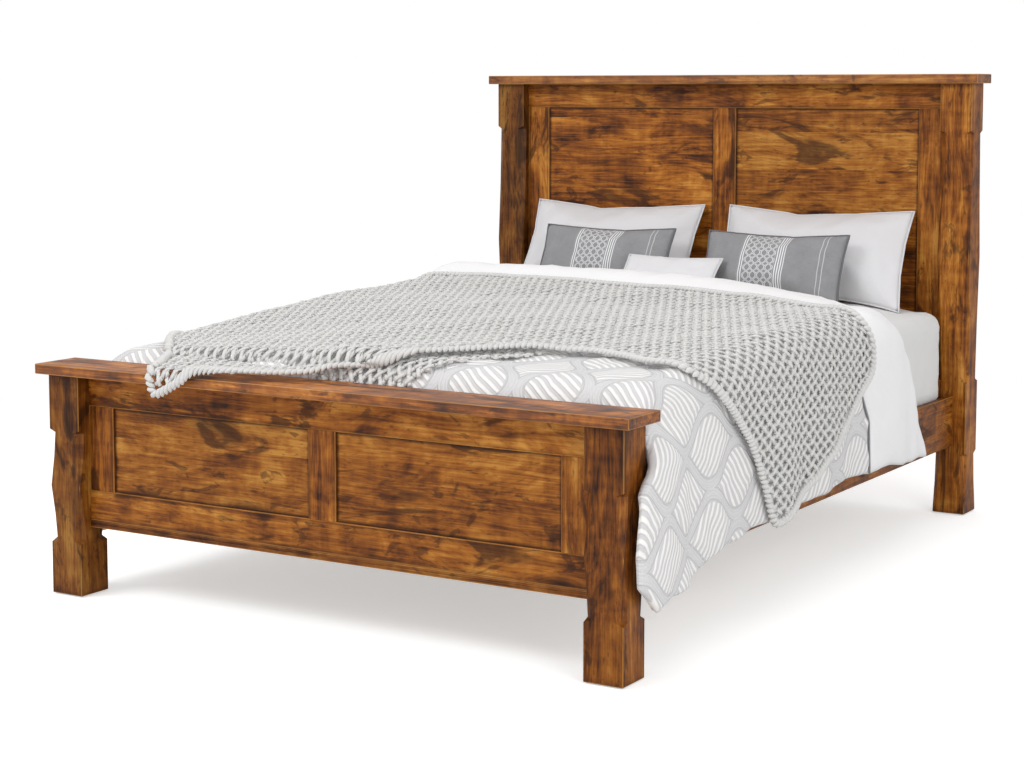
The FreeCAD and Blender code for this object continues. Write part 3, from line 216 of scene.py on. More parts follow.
# How a piece's coordinates run: along the grain, across its show face, and into it.
GRAINS = {
    "rail": (0, 2, 1),
    "cap": (0, 1, 2),
    "upright": (2, 0, 1),
    "side": (1, 2, 0),
    "slat": (0, 1, 2),
}


def edge_distance(finish, axes, box):
    """Distance of a point on a box-shaped member from the nearest of its long edges."""
    low, high = box
    away = []
    for axis in range(3):
        away.append(finish.least(axes[axis] - low[axis], high[axis] - axes[axis]))
    # on a face one of the three is nought, so the middle one is the way to the nearest edge
    smallest = finish.least(finish.least(away[0], away[1]), away[2])
    largest = finish.most(finish.most(away[0], away[1]), away[2])
    return finish.absolute(away[0] + away[1] + away[2] - smallest - largest)


def stained_wood(name, grain, seed, box, board=0.0, tone=1.0, knots=0.5, inset=0.0, gloss=0.22):
    """Knotty hardwood under a brown stain and a satin lacquer, with painted shade in its hollows and along its edges,
    and a thin lighter edge line that is partly rubbed wear and partly a painted highlight.
    """
    colours = bpy.context.scene.bed_colours
    finish = Finish(name)
    axes = finish.axes()
    along, across, into = (axes[index] for index in GRAINS[grain])
    along = along + seed * 1.37
    into = into + seed * 0.31
    across = across + seed * 0.113
    board_tone = 0.0
    if board:
        number = finish.floor(across / board)
        along = along + 5.3 * finish.chance(number + seed)
        board_tone = 0.22 * (finish.chance(number + seed + 0.5) - 0.5)

    # knots: sparse dark eyes that push the grain aside
    knot_place = finish.join(along * 2.2, across * 5.5, into * 1.5 + seed)
    knot = finish.cells(knot_place, 1.0, "F1", 1.0)
    wander = finish.noise(finish.join(along * 1.3, across * 4.2, into * 3.0), 1.0, 2.0)
    swirl = finish.noise(finish.join(along * 5.0, across * 14.0, into * 9.0), 1.0, 2.0)
    eye = finish.between(knot, 0.30, 0.0)
    field = across * 9.0 + wander * 3.6 + swirl * 0.5 + eye * 0.9
    rings = finish.sine(field * 42.0) * 0.5 + 0.5
    rings = rings * rings

    fibre = finish.noise(finish.join(along * 7.0, across * 230.0, into * 230.0), 1.0, 3.0, 0.6)
    streak = finish.noise(finish.join(along * 4.2, across * 38.0, into * 38.0), 1.0, 4.0, 0.64, 0.9)
    cloud = finish.noise(finish.join(along * 4.4, across * 8.5, into * 8.5), 1.0, 5.0, 0.64, 1.0)
    patch_place = finish.join(along * 2.5 + 9.0, across * 7.5, into * 5.0)
    patch = finish.between(finish.noise(patch_place, 1.0, 4.0, 0.62, 1.6), 0.565, 0.65)
    splash_place = finish.join(along * 8.0 + 3.0, across * 19.0, into * 14.0)
    splash = finish.between(finish.noise(splash_place, 1.0, 3.0, 0.6, 1.2), 0.60, 0.65)
    fleck = finish.noise(finish.join(along * 42.0, across * 110.0, into * 110.0), 1.0, 2.0, 0.6)
    fleck = finish.between(fleck, 0.60, 0.74)

    broad = finish.noise(finish.join(along * 1.1 + 4.0, across * 2.6, into * 2.6), 1.0, 2.0, 0.5, 0.5)
    curl = finish.noise(finish.join(along * 34.0, across * 7.0, into * 7.0), 1.0, 2.0, 0.5)
    value = 0.50 + (cloud - 0.5) * 1.5 + (broad - 0.5) * 0.9 + (streak - 0.5) * 1.0 + (fibre - 0.5) * 0.75
    value = value + (rings - 0.35) * -0.07 + (curl - 0.5) * 0.38 + board_tone
    stops = [
        (0.06, tuple(colours.stain_dark_and_painted_shade)),
        (0.36, tuple(colours.stain_mid)),
        (0.62, tuple(colours.stain_gold)),
        (0.96, tuple(colours.stain_light_and_highlight)),
    ]
    colour = finish.ramp(value, stops)
    heart = finish.between(knot, 0.10, 0.03)
    halo = finish.between(knot, 0.26, 0.10) * 0.45
    present = finish.between(finish.noise(knot_place, 0.6, 0.0), 0.62 - 0.2 * knots, 0.66 - 0.2 * knots)
    dark = tuple(colours.stain_dark_and_painted_shade)
    colour = finish.blend(patch * 0.72, colour, dark)
    colour = finish.blend(splash * 0.55, colour, dark)
    colour = finish.blend(finish.most(heart * 0.9, halo) * present, colour, tuple(c * 0.4 for c in dark))
    colour = finish.blend(fleck * 0.5, colour, dark)
    colour = finish.blend(1.0, colour, (tone, tone, tone), "MULTIPLY")

    edge = edge_distance(finish, axes, box)
    ragged = edge + (streak - 0.5) * 0.006 - inset
    # On a panel, painted shade darkens the border where it runs into the frame's groove.
    if inset:
        colour = finish.blend(finish.between(ragged, 0.011, 0.0015) * 0.75, colour, tuple(c * 0.6 for c in dark))
    else:
        # A thin lighter line along each edge, partly rubbed wear and partly a painted highlight of the eased edge.
        colour = finish.blend(finish.between(ragged, 0.0028, 0.0010) * 0.42, colour, tuple(colours.stain_light_and_highlight))
        # Just inside each edge, a band of painted shade.
        painted_shade = finish.between(ragged, 0.013, 0.003) * finish.between(ragged, 0.0015, 0.003)
        colour = finish.blend(painted_shade * 0.38, colour, dark)

    roughness = 0.46 + (streak - 0.5) * 0.22 + patch * 0.08
    height = fibre * 0.35 + rings * 0.12 + streak * 0.6 - fleck * 0.5 - heart * present * 1.2
    normal = finish.bump(height, 0.0009, 0.5)
    return finish.surface(
        Base_Color=colour,
        Roughness=roughness,
        Normal=normal,
        Specular_IOR_Level=gloss,
        Coat_Weight=0.02,
        Coat_Roughness=0.35,
    )


def planed_wood(name, grain, seed):
    """Plain unfinished softwood for what lies under the mattress."""
    colours = bpy.context.scene.bed_colours
    finish = Finish(name)
    axes = finish.axes()
    along, across, into = (axes[index] for index in GRAINS[grain])
    along = along + seed * 1.7
    wander = finish.noise(finish.join(along * 1.1, across * 6.0, into * 6.0), 1.0, 2.0)
    rings = finish.sine((across * 30.0 + wander * 5.0) * 22.0) * 0.5 + 0.5
    fibre = finish.noise(finish.join(along * 8.0, across * 260.0, into * 260.0), 1.0, 3.0)
    pale = tuple(colours.planed)
    colour = finish.blend(rings * 0.4 + (fibre - 0.5) * 0.5, pale, tuple(c * 0.62 for c in pale))
    normal = finish.bump(rings * 0.3 + fibre * 0.5, 0.0006, 0.4)
    return finish.surface(Base_Color=colour, Roughness=0.68 + (fibre - 0.5) * 0.2, Normal=normal)


def zinc_plate(name):
    """Zinc-plated steel of the plates, brackets and screws."""
    finish = Finish(name)
    place = finish.join(*finish.axes())
    mottle = finish.noise(place, 160.0, 3.0)
    brush = finish.noise(place, 900.0, 2.0)
    colour = finish.blend(mottle, shade(150, 152, 156), shade(190, 190, 186))
    return finish.surface(
        Base_Color=colour,
        Metallic=1.0,
        Roughness=0.34 + (mottle - 0.5) * 0.2,
        Normal=finish.bump(brush, 0.0002, 0.3),
    )


def moulded_plastic(name, colour):
    """Matte moulded plastic with a fine grain."""
    finish = Finish(name)
    grain = finish.noise(finish.join(*finish.axes()), 1400.0, 2.0)
    tint = finish.blend(grain * 0.3, colour, tuple(c * 0.6 for c in colour))
    return finish.surface(Base_Color=tint, Roughness=0.6 + (grain - 0.5) * 0.15, Normal=finish.bump(grain, 0.0002, 0.4))


def dress(node, material):
    """Gives a frame node its finish."""
    slots = NODES[node].data.materials
    slots.clear()
    slots.append(material)


# ---------------------------------------------------------------- cloth finishes


def woven_cloth(name, colour, thread=0.0009, slub=0.25, sheen=0.15, mottling=0.05):
    """Plain-woven cotton or linen: crossing threads, slubs, and faint creases as painted shade and highlight."""
    finish = Finish(name)
    x, y, z = finish.axes()
    place = finish.join(x, y, z)
    pitch = 2 * math.pi / thread
    warp = finish.sine(x * pitch) * finish.sine((y + z) * pitch)
    slubs = finish.noise(finish.join(x * 90.0, y * 700.0, z * 700.0), 1.0, 2.0)
    # crease: soft lighter and darker patches in the colour only, a painted shade and highlight of faint creases.
    crease = finish.noise(place, 9.0, 4.0, 0.55, 0.5)
    tint = finish.blend(
        0.5 + (slubs - 0.5) * slub * 2 + (crease - 0.5) * mottling * 4,
        tuple(c * (1 - mottling * 2) for c in colour),
        tuple(min(1.0, c * (1 + mottling)) for c in colour),
    )
    height = warp * 0.25 + slubs * 0.5
    normal = finish.bump(height, 0.0004, 0.35)
    return finish.surface(
        Base_Color=tint,
        Roughness=0.88 + (slubs - 0.5) * 0.1,
        Normal=normal,
        Sheen_Weight=sheen,
        Sheen_Roughness=0.5,
        Specular_IOR_Level=0.25,
    )


def frame_member(node, grain, seed, board=0.0, tone=1.0, knots=0.5, inset=0.0, gloss=0.22):
    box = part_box(node)
    dress(node, stained_wood(f"stain_{node}", grain, seed, box, board, tone, knots, inset, gloss))


class BedColours(bpy.types.PropertyGroup):
    """Colours that a user would change."""

    # Also the colour of the painted shade along the edges and in the panels' grooves.
    stain_dark_and_painted_shade: bpy.props.FloatVectorProperty(
        name="Dark stain", description="Knots, patches and worn hollows", subtype="COLOR",
        default=shade(46, 20, 4), min=0.0, max=1.0,
    )
    stain_mid: bpy.props.FloatVectorProperty(
        name="Stain", description="The body of the stain", subtype="COLOR",
        default=shade(116, 62, 15), min=0.0, max=1.0,
    )
    stain_gold: bpy.props.FloatVectorProperty(
        name="Gold", description="Grain that the stain left lighter", subtype="COLOR",
        default=shade(157, 93, 27), min=0.0, max=1.0,
    )
    # Also the thin lighter edge line, partly rubbed wear and partly a painted highlight.
    stain_light_and_highlight: bpy.props.FloatVectorProperty(
        name="Worn edge", description="Rubbed edges and the palest grain", subtype="COLOR",
        default=shade(196, 136, 58), min=0.0, max=1.0,
    )
    planed: bpy.props.FloatVectorProperty(
        name="Planed wood", description="Slats, ledgers, beam and legs", subtype="COLOR",
        default=shade(205, 172, 128), min=0.0, max=1.0,
    )
    white: bpy.props.FloatVectorProperty(
        name="White linen", description="Duvet and pillows", subtype="COLOR",
        default=shade(239, 238, 239), min=0.0, max=1.0,
    )
    sheet: bpy.props.FloatVectorProperty(
        name="Sheet", description="The fitted sheet", subtype="COLOR",
        default=shade(218, 218, 217), min=0.0, max=1.0,
    )
    grey: bpy.props.FloatVectorProperty(
        name="Grey linen", description="The long cushions", subtype="COLOR",
        default=shade(141, 141, 143), min=0.0, max=1.0,
    )
    yarn: bpy.props.FloatVectorProperty(
        name="Yarn", description="The openwork throw", subtype="COLOR",
        default=shade(220, 219, 217), min=0.0, max=1.0,
    )
    quilt: bpy.props.FloatVectorProperty(
        name="Quilt ground", description="The comforter between its cords", subtype="COLOR",
        default=shade(207, 206, 207), min=0.0, max=1.0,
    )
    cords: bpy.props.FloatVectorProperty(
        name="Quilt cords", description="The comforter's raised cords", subtype="COLOR",
        default=shade(242, 240, 238), min=0.0, max=1.0,
    )


class BED_OT_stain_frame(bpy.types.Operator):
    """Stains the posts, caps, frames, panels and side rails"""

    bl_idname = "bed.stain_frame"
    bl_label = "Stained wood"

    def execute(self, context):
        # Each member is drawn lighter or darker than the stain by its tone, set member by member: the foot cap brighter
        # than the head cap, the left posts darker than the right.
        tones = {"head": (1.0, 1.08, 1.15, 0.88, 1.12, 0.50, 0.98), "foot": (1.4, 1.18, 0.86, 0.94, 1.08, 0.60, 0.84)}
        for end, first in (("head", 3.0), ("foot", 11.0)):
            cap, rail, panel_left, panel_right, stile, post_left, post_right = tones[end]
            frame_member(f"{end}_cap", "cap", first, tone=cap, knots=0.2, gloss=0.55)
            frame_member(f"{end}_top_rail", "rail", first + 0.61, tone=rail)
            frame_member(f"{end}_bottom_rail", "rail", first + 1.17)
            frame_member(f"{end}_panel_left", "rail", first + 2.9, board=0.117, tone=panel_left, knots=0.9, inset=0.0085)
            frame_member(f"{end}_panel_right", "rail", first + 4.3, board=0.117, tone=panel_right, knots=0.7, inset=0.0085)
            frame_member(f"{end}_stile_left", "upright", first + 5.1, tone=1.05)
            frame_member(f"{end}_stile_centre", "upright", first * 1.1 + 5.8, tone=stile)
            frame_member(f"{end}_stile_right", "upright", first + 7.3)
            frame_member(f"{end}_post_left", "upright", first + 8.9, tone=post_left, knots=0.8)
            frame_member(f"{end}_post_right", "upright", first + 9.7, tone=post_right, knots=0.8)
        # The base moulding and the side rails are drawn a little darker than the stain.
        frame_member("foot_base_moulding", "rail", 21.3, tone=0.85)
        frame_member("side_rail_left", "side", 22.1, tone=0.9)
        frame_member("side_rail_right", "side", 23.7, tone=0.9)
        return {"FINISHED"}


class BED_OT_finish_base(bpy.types.Operator):
    """Finishes the slats, ledgers, beam, legs and every fitting"""

    bl_idname = "bed.finish_base"
    bl_label = "Slatted base and fittings"

    def execute(self, context):
        slats = sorted(node for node in NODES if node.startswith("slat_") and node != "slat_screws")
        for number, node in enumerate(slats):
            dress(node, planed_wood(f"planed_{node}", "slat", number * 0.83))
        for node in ("ledger_left", "ledger_right", "centre_beam"):
            dress(node, planed_wood(f"planed_{node}", "side", len(node) * 0.7))
        for node in ("support_leg_foot_end", "support_leg_head_end"):
            dress(node, planed_wood(f"planed_{node}", "upright", len(node) * 1.1))
        plated = zinc_plate("zinc")
        for node in NODES:
            if "screws" in node or "plates" in node or "bracket" in node:
                dress(node, plated)
        dress("leg_inserts", plated)
        black = moulded_plastic("leveller_nylon", shade(38, 37, 36))
        for node in ("leveller_foot_end", "leveller_head_end", "post_glides"):
            dress(node, black)
        return {"FINISHED"}


# ---------------------------------------------------------------- mesh making


def make_piece(name, points, faces, materials, uv=None, body=BED, smooth=True):
    """A mesh piece that rides on a body; uv gives one pair of numbers for each point."""
    mesh = bpy.data.meshes.new(name)
    mesh.from_pydata([tuple(p) for p in points], [], [tuple(int(i) for i in f) for f in faces])
    if uv is not None:
        layer = mesh.uv_layers.new(name="flat")
        corners = np.zeros(len(mesh.loops), np.int32)
        mesh.loops.foreach_get("vertex_index", corners)
        layer.data.foreach_set("uv", np.asarray(uv, np.float32)[corners].ravel())
    if smooth:
        mesh.polygons.foreach_set("use_smooth", np.ones(len(mesh.polygons), bool))
    for material in materials:
        mesh.materials.append(material)
    mesh.update()
    piece = bpy.data.objects.new(name, mesh)
    bpy.context.scene.collection.objects.link(piece)
    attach(piece, body)
    return piece


def grid_faces(rows, columns, start=0, flip=False):
    """Quads of a grid of points that is stored row by row."""
    index = start + np.arange(rows * columns).reshape(rows, columns)
    a, b = index[:-1, :-1], index[:-1, 1:]
    c, d = index[1:, 1:], index[1:, :-1]
    quads = np.stack([a, b, c, d], axis=-1).reshape(-1, 4)
    return quads[:, ::-1] if flip else quads


# ---------------------------------------------------------------- the made-up surface

FLAT = 0.735  # half the width of the level part of the cover
ROUND = 0.085  # radius of its long edges
FOOT = -0.905  # where it starts to turn down behind the footboard
FOOT_ROUND = 0.095
DROP_START = FLAT + ROUND * math.pi / 2
CAP_FRONT = -1.153
CAP_TOP = 0.600


def smooth(value, low, high):
    """A smooth step from 0 at low to 1 at high."""
    share = np.clip((value - low) / (high - low), 0.0, 1.0)
    return share * share * (3 - 2 * share)


def ripple(s, t, seed):
    """Soft irregular waves between about -1 and 1."""
    total = 0.0
    for turn, rate, phase in ((0.35, 7.0, 0.4), (1.25, 10.3, 1.9), (2.3, 15.1, 4.2), (-0.6, 21.7, 2.7)):
        total = total + np.sin((s * math.cos(turn) + t * math.sin(turn)) * rate + phase + seed * 1.7) / 3.2
    return total


def top_height(s, t):
    """The cover lies lower towards the foot, most of all at its left corner, and swells over the duvet's fold."""
    foot = 0.622 + 0.026 * smooth(s, -0.72, -0.15)
    fold = 0.020 * smooth(t, 0.12, 0.50) * (1 - smooth(s, 0.40, 0.74)) * smooth(s, -0.86, -0.72)
    return foot + (0.680 - foot) * smooth(t, -0.95, 0.10) + fold


def cover_base(s, t, over_cap=False):
    """A point of the made-up bed's outer surface: s runs across and down the sides, t from foot to head."""
    side = np.sign(s) + (s == 0)
    away = np.abs(s)
    past = np.maximum(away - FLAT, 0.0)
    angle = np.minimum(past / ROUND, math.pi / 2)
    down = np.maximum(away - DROP_START, 0.0)
    level = np.cos(angle)
    x = np.minimum(away, FLAT) + ROUND * np.sin(angle)
    folds = 0.5 + 0.5 * np.sin(t * 17.0 + 0.8 * np.sin(t * 5.0 + side) + side * 0.9)
    finer = np.sin(t * 41.0 + 2.0 * np.sin(t * 9.0) + side)
    corner = smooth(t, -0.72, -1.0) * (s > 0)
    share = down / 0.35
    x = x + share * (0.004 + 0.012 * folds + 0.003 * finer) + 0.052 * corner * smooth(share, -0.05, 0.26)
    low = ROUND * (1 - np.cos(angle)) + down
    z = top_height(s, t) - low
    y = t
    if over_cap:
        rest = CAP_TOP + 0.009
        z = np.where(t < -0.93, np.maximum(z - 0.13 * smooth(t, -0.93, -1.02), rest - low), z)
        bend = np.maximum(-t + CAP_FRONT + 0.004, 0.0)
        y = np.where(t < CAP_FRONT + 0.004, CAP_FRONT + 0.004 - np.minimum(bend, 0.010), t)
        z = z - np.maximum(bend - 0.006, 0.0)
    else:
        beyond = np.maximum(FOOT - t, 0.0)
        tilt = np.minimum(beyond / FOOT_ROUND, math.pi / 2)
        below = np.maximum(beyond - FOOT_ROUND * math.pi / 2, 0.0)
        fold_y = FOOT - FOOT_ROUND * np.sin(tilt)
        fold_z = FOOT_ROUND * (1 - np.cos(tilt)) + below
        y = np.where(beyond > 0, level * fold_y + (1 - level) * t, t)
        z = z - level * fold_z
    puff = 0.0035 * ripple(s, t, 1.0) * level
    return np.stack([side * x, y, z + puff], axis=-1)


def cover(s, t, lift=0.0, over_cap=False):
    """The surface lifted along its own normal, and the normal."""
    step = 0.002
    ds = cover_base(s + step, t, over_cap) - cover_base(s - step, t, over_cap)
    dt = cover_base(s, t + step, over_cap) - cover_base(s, t - step, over_cap)
    normal = np.cross(ds, dt)
    normal /= np.linalg.norm(normal, axis=-1, keepdims=True) + 1e-12
    return cover_base(s, t, over_cap) + normal * np.asarray(lift)[..., None], normal


def side_hem(t, side):
    """How far down the side the comforter reaches, as s."""
    hem = np.interp(
        t, [-1.1, -0.83, -0.74, -0.58, -0.44, -0.145, 0.057, 0.283, 0.36, 0.45, 0.588, 0.744, 0.85],
        [1.268, 1.271, 1.246, 1.226, 1.224, 1.226, 1.217, 1.211, 1.208, 1.212, 1.225, 1.233, 1.235],
    )
    return hem + 0.003 * np.sin(t * 23.0 + side)


def comforter_head(s):
    """Where the comforter's head edge lies, as t."""
    return np.interp(
        s, [-1.3, -1.0, -0.80, -0.70, -0.40, -0.08, 0.145, 0.42, 0.60, 0.745, 0.80, 0.90, 0.975, 1.07, 1.3],
        [0.44, 0.45, 0.50, 0.55, 0.535, 0.495, 0.49, 0.42, 0.39, 0.347, 0.325, 0.265, 0.248, 0.300, 0.295],
    )


def duvet_head(s):
    """Where the turned-back duvet's head edge lies, as t."""
    return np.interp(
        s, [-1.3, -0.95, -0.75, -0.4, 0.1, 0.315, 0.571, 0.72, 0.807, 0.843, 0.941, 1.078, 1.21, 1.3],
        [0.78, 0.70, 0.68, 0.69, 0.69, 0.68, 0.60, 0.505, 0.506, 0.542, 0.629, 0.690, 0.745, 0.77],
    )


def foot_edge(s):
    """Where the cover ends at the foot, tucked behind the footboard on top and flaring past the post at the sides."""
    past = np.clip((np.abs(s) - FLAT) / ROUND, 0.0, math.pi / 2)
    tucked = FOOT - FOOT_ROUND - np.cos(past) * (FOOT_ROUND * (math.pi / 2 - 1) + 0.10)
    share = (np.abs(s) - DROP_START) / 0.40
    flared = np.interp(share, [0, 0.1, 0.22, 0.35, 0.6, 0.85, 1.0], [-1.0, -1.022, -1.055, -1.10, -1.12, -1.12, -1.05])
    flared = np.where(s > 0, flared, -1.0)
    return np.where(share > 0, flared, tucked)


def shell(outer, normals, thick, edge, uv, outer_drop=0.5):
    """Points, faces and uv of a closed padded sheet, thinner along its rim over the width edge."""
    rows, columns = outer.shape[:2]
    run_r = np.concatenate([[0], np.cumsum(np.linalg.norm(np.diff(outer[:, columns // 2], axis=0), axis=-1))])
    run_c = np.concatenate([[0], np.cumsum(np.linalg.norm(np.diff(outer[rows // 2], axis=0), axis=-1))])
    from_r = np.minimum(run_r, run_r[-1] - run_r)[:, None]
    from_c = np.minimum(run_c, run_c[-1] - run_c)[None, :]
    near = np.clip(np.minimum(from_r, from_c) / edge, 0.0, 1.0)
    swell = np.sqrt(1 - (1 - near) ** 2)
    depth = np.asarray(thick) * (0.12 + 0.88 * swell)
    lower = np.asarray(thick) - depth
    top = outer - normals * (lower * outer_drop)[..., None]
    bottom = top - normals * depth[..., None]
    count = rows * columns
    faces = [grid_faces(rows, columns), grid_faces(rows, columns, count, flip=True)]
    index = np.arange(count).reshape(rows, columns)
    rim = np.concatenate([index[0, :], index[1:, -1], index[-1, -2::-1], index[-2:0:-1, 0]])
    after = np.roll(rim, -1)
    faces.append(np.stack([after, rim, rim + count, after + count], axis=-1))
    points = np.concatenate([top.reshape(-1, 3), bottom.reshape(-1, 3)])
    return points, np.concatenate(faces), np.concatenate([uv.reshape(-1, 2)] * 2)


def tube(path, radius, sides=8, squeeze=1.0, up=None):
    """Points and faces of a closed round tube along a path."""
    path = np.asarray(path, float)
    ahead = np.gradient(path, axis=0)
    ahead /= np.linalg.norm(ahead, axis=1, keepdims=True)
    up = np.tile([0.0, 0.0, 1.0], (len(path), 1)) if up is None else up
    out = np.cross(ahead, up)
    out /= np.linalg.norm(out, axis=1, keepdims=True)
    up = np.cross(out, ahead)
    turn = np.linspace(0, 2 * math.pi, sides, endpoint=False)
    ring = out[:, None] * np.cos(turn)[None, :, None] * radius + up[:, None] * np.sin(turn)[None, :, None] * radius * squeeze
    points = (path[:, None] + ring).reshape(-1, 3)
    faces = []
    for row in range(len(path) - 1):
        for side in range(sides):
            a, b = row * sides + side, row * sides + (side + 1) % sides
            faces.append((a, b, b + sides, a + sides))
    ends = [len(points), len(points) + 1]
    points = np.concatenate([points, path[[0, -1]]])
    last = (len(path) - 1) * sides
    for side in range(sides):
        faces.append((side, ends[0], (side + 1) % sides))
        faces.append((last + (side + 1) % sides, ends[1], last + side))
    return points, faces


def reface(piece):
    """Turns every face outwards."""
    import bmesh

    work = bmesh.new()
    work.from_mesh(piece.data)
    bmesh.ops.recalc_face_normals(work, faces=work.faces)
    work.to_mesh(piece.data)
    work.free()


# ---------------------------------------------------------------- the comforter's pattern

OGEE_WIDE = 0.102
OGEE_LONG = 0.30
OGEE_BAND = 0.026


def ogee(s, t):
    """Distance from the nearest band's middle in metres, and which way the cords of the cell lean."""
    q = s / OGEE_WIDE
    wave = 0.40 * np.sin(2 * math.pi * t / OGEE_LONG)
    first = np.floor(q)
    odd = np.mod(first, 2) * 2 - 1
    near = q - first - odd * wave
    far = q - first - 1 + odd * wave
    distance = np.minimum(np.abs(near), np.abs(far)) * OGEE_WIDE * 0.72
    cell = first + (far > 0) - (near < 0)
    return distance, cell


THROW_OUTLINE = (
    (-0.594, -0.937), (-0.468, -1.127), (-0.452, -1.200), (-0.438, -1.211), (-0.356, -1.169), (-0.335, -1.150),
    (-0.240, -1.145), (-0.113, -1.088), (-0.055, -1.040), (-0.010, -0.985), (0.072, -0.952), (0.170, -0.922),
    (0.235, -0.844), (0.334, -0.730), (0.412, -0.671), (0.500, -0.640), (0.609, -0.675), (0.700, -0.728),
    (0.788, -0.731), (0.825, -0.679), (0.898, -0.584), (1.003, -0.471), (1.117, -0.402), (1.227, -0.363),
    (1.218, -0.283), (1.143, -0.058), (1.063, 0.083), (0.982, 0.205), (0.932, 0.290), (0.866, 0.300),
    (0.800, 0.290), (0.745, 0.305), (0.602, 0.352), (0.419, 0.385), (0.145, 0.455), (-0.084, 0.462),
    (-0.402, 0.500), (-0.700, 0.512), (-0.900, 0.430), (-0.955, 0.200), (-0.935, -0.150), (-0.860, -0.520),
    (-0.720, -0.800),
)
# the part of the throw that is folded under and shows between its edge and the footboard
THROW_UNDER = (
    (-0.130, -1.030), (0.060, -1.040), (0.140, -1.045), (0.210, -0.985), (0.300, -0.860), (0.400, -0.690),
    (0.300, -0.660), (0.180, -0.700), (0.060, -0.800), (-0.060, -0.900),
)
STITCH_WIDE = 0.030
STITCH_LONG = 0.046
THROW_TURN = math.radians(-7.0)


def inset(outline, s, t):
    """Distance of points from the outline, positive inside it."""
    loop = np.asarray(outline, float)
    ends = np.roll(loop, -1, axis=0)
    away = np.full(np.shape(s), 9.0)
    inside = np.zeros(np.shape(s), bool)
    for (ax, ay), (bx, by) in zip(loop, ends):
        along = np.array([bx - ax, by - ay])
        share = np.clip(((s - ax) * along[0] + (t - ay) * along[1]) / (along @ along), 0, 1)
        away = np.minimum(away, np.hypot(s - ax - share * along[0], t - ay - share * along[1]))
        crosses = (ay > t) != (by > t)
        inside ^= crosses & (s < (bx - ax) * (t - ay) / ((by - ay) or 1e-9) + ax)
    return np.where(inside, away, -away)


def spaced(outline, gap):
    """Points evenly spaced along a closed outline with its corners eased, and the directions there."""
    loop = np.asarray(outline, float)
    for _ in range(2):
        ahead = np.roll(loop, -1, axis=0)
        loop = np.stack([0.8 * loop + 0.2 * ahead, 0.2 * loop + 0.8 * ahead], axis=1).reshape(-1, 2)
    ring = np.concatenate([loop, loop[:1]])
    run = np.concatenate([[0], np.cumsum(np.linalg.norm(np.diff(ring, axis=0), axis=1))])
    count = int(round(run[-1] / gap))
    at = np.arange(count) * run[-1] / count
    points = np.stack([np.interp(at, run, ring[:, k]) for k in (0, 1)], axis=1)
    ahead = np.roll(points, -1, axis=0) - np.roll(points, 1, axis=0)
    return points, np.arctan2(ahead[:, 1], ahead[:, 0])


def lumps(curves, sides=5):
    """A mesh of several short closed tubes; each is (points of its middle, half widths, half heights)."""
    points, faces = [], []
    for middle, wide, high in curves:
        middle = np.asarray(middle, float)
        ahead = np.gradient(middle, axis=0)
        ahead[:, 2] = 0.0
        ahead /= np.linalg.norm(ahead, axis=1, keepdims=True)
        out = np.stack([ahead[:, 1], -ahead[:, 0], np.zeros(len(ahead))], axis=1)
        turn = np.linspace(0, 2 * math.pi, sides, endpoint=False)
        start = len(points)
        for row, centre in enumerate(middle):
            for angle in turn:
                points.append(centre + out[row] * wide[row] * math.cos(angle) + np.array([0, 0, high[row] * math.sin(angle)]))
        for row in range(len(middle) - 1):
            for side in range(sides):
                a = start + row * sides + side
                b = start + row * sides + (side + 1) % sides
                faces.append((a, b, b + sides, a + sides))
        faces.append(tuple(start + side for side in reversed(range(sides))))
        faces.append(tuple(start + (len(middle) - 1) * sides + side for side in range(sides)))
    return points, faces


def stitch_mesh(name, curves):
    """A hidden stitch whose end faces are marked, so that they stay flat where the next stitch begins."""
    stitch = hidden_mesh(name, *lumps(curves))
    mark = stitch.data.attributes.new("end", "BOOLEAN", "FACE")
    mark.data.foreach_set("value", [len(face.vertices) > 4 for face in stitch.data.polygons])
    return stitch


def hidden_mesh(name, points, faces=()):
    mesh = bpy.data.meshes.new(name)
    mesh.from_pydata([tuple(p) for p in points], [], [tuple(f) for f in faces])
    thing = bpy.data.objects.new(name, mesh)
    bpy.context.scene.collection.objects.link(thing)
    return thing


def crossing(name, first_over):
    """One crossing of two flat strands of the openwork, with the knot that holds them."""
    u = np.linspace(-1, 1, 5)
    curves = []
    for slope, over in ((1, first_over), (-1, not first_over)):
        rise = 0.0016 * np.cos(u * math.pi / 2) * (1 if over else -1)
        middle = np.stack([u * STITCH_WIDE / 4, slope * u * STITCH_LONG / 4, rise], axis=1)
        swell = np.abs(np.cos(u * math.pi))
        curves.append((middle, 0.0054 + 0.0010 * swell, 0.0030 + 0.0006 * swell))
    knot = np.linspace(-1, 1, 3)
    middle = np.stack([0.0014 * knot, 0.0086 * knot, 0.0016 + 0 * knot], axis=1)
    curves.append((middle, np.array([0.0034, 0.0060, 0.0034]), np.array([0.0016, 0.0038, 0.0016])))
    return stitch_mesh(name, curves)


def rope_turn(name):
    """One slanting turn of the twisted rope that edges the throw."""
    u = np.linspace(-1, 1, 7)
    swell = np.sqrt(np.clip(1 - (u * 0.985) ** 2, 0, 1))
    middle = np.stack([u * 0.0086, u * 0.0112, 0.0030 + 0.0034 * swell], axis=1)
    return stitch_mesh(name, [(middle, 0.0014 + 0.0058 * swell, 0.0014 + 0.0064 * swell)])


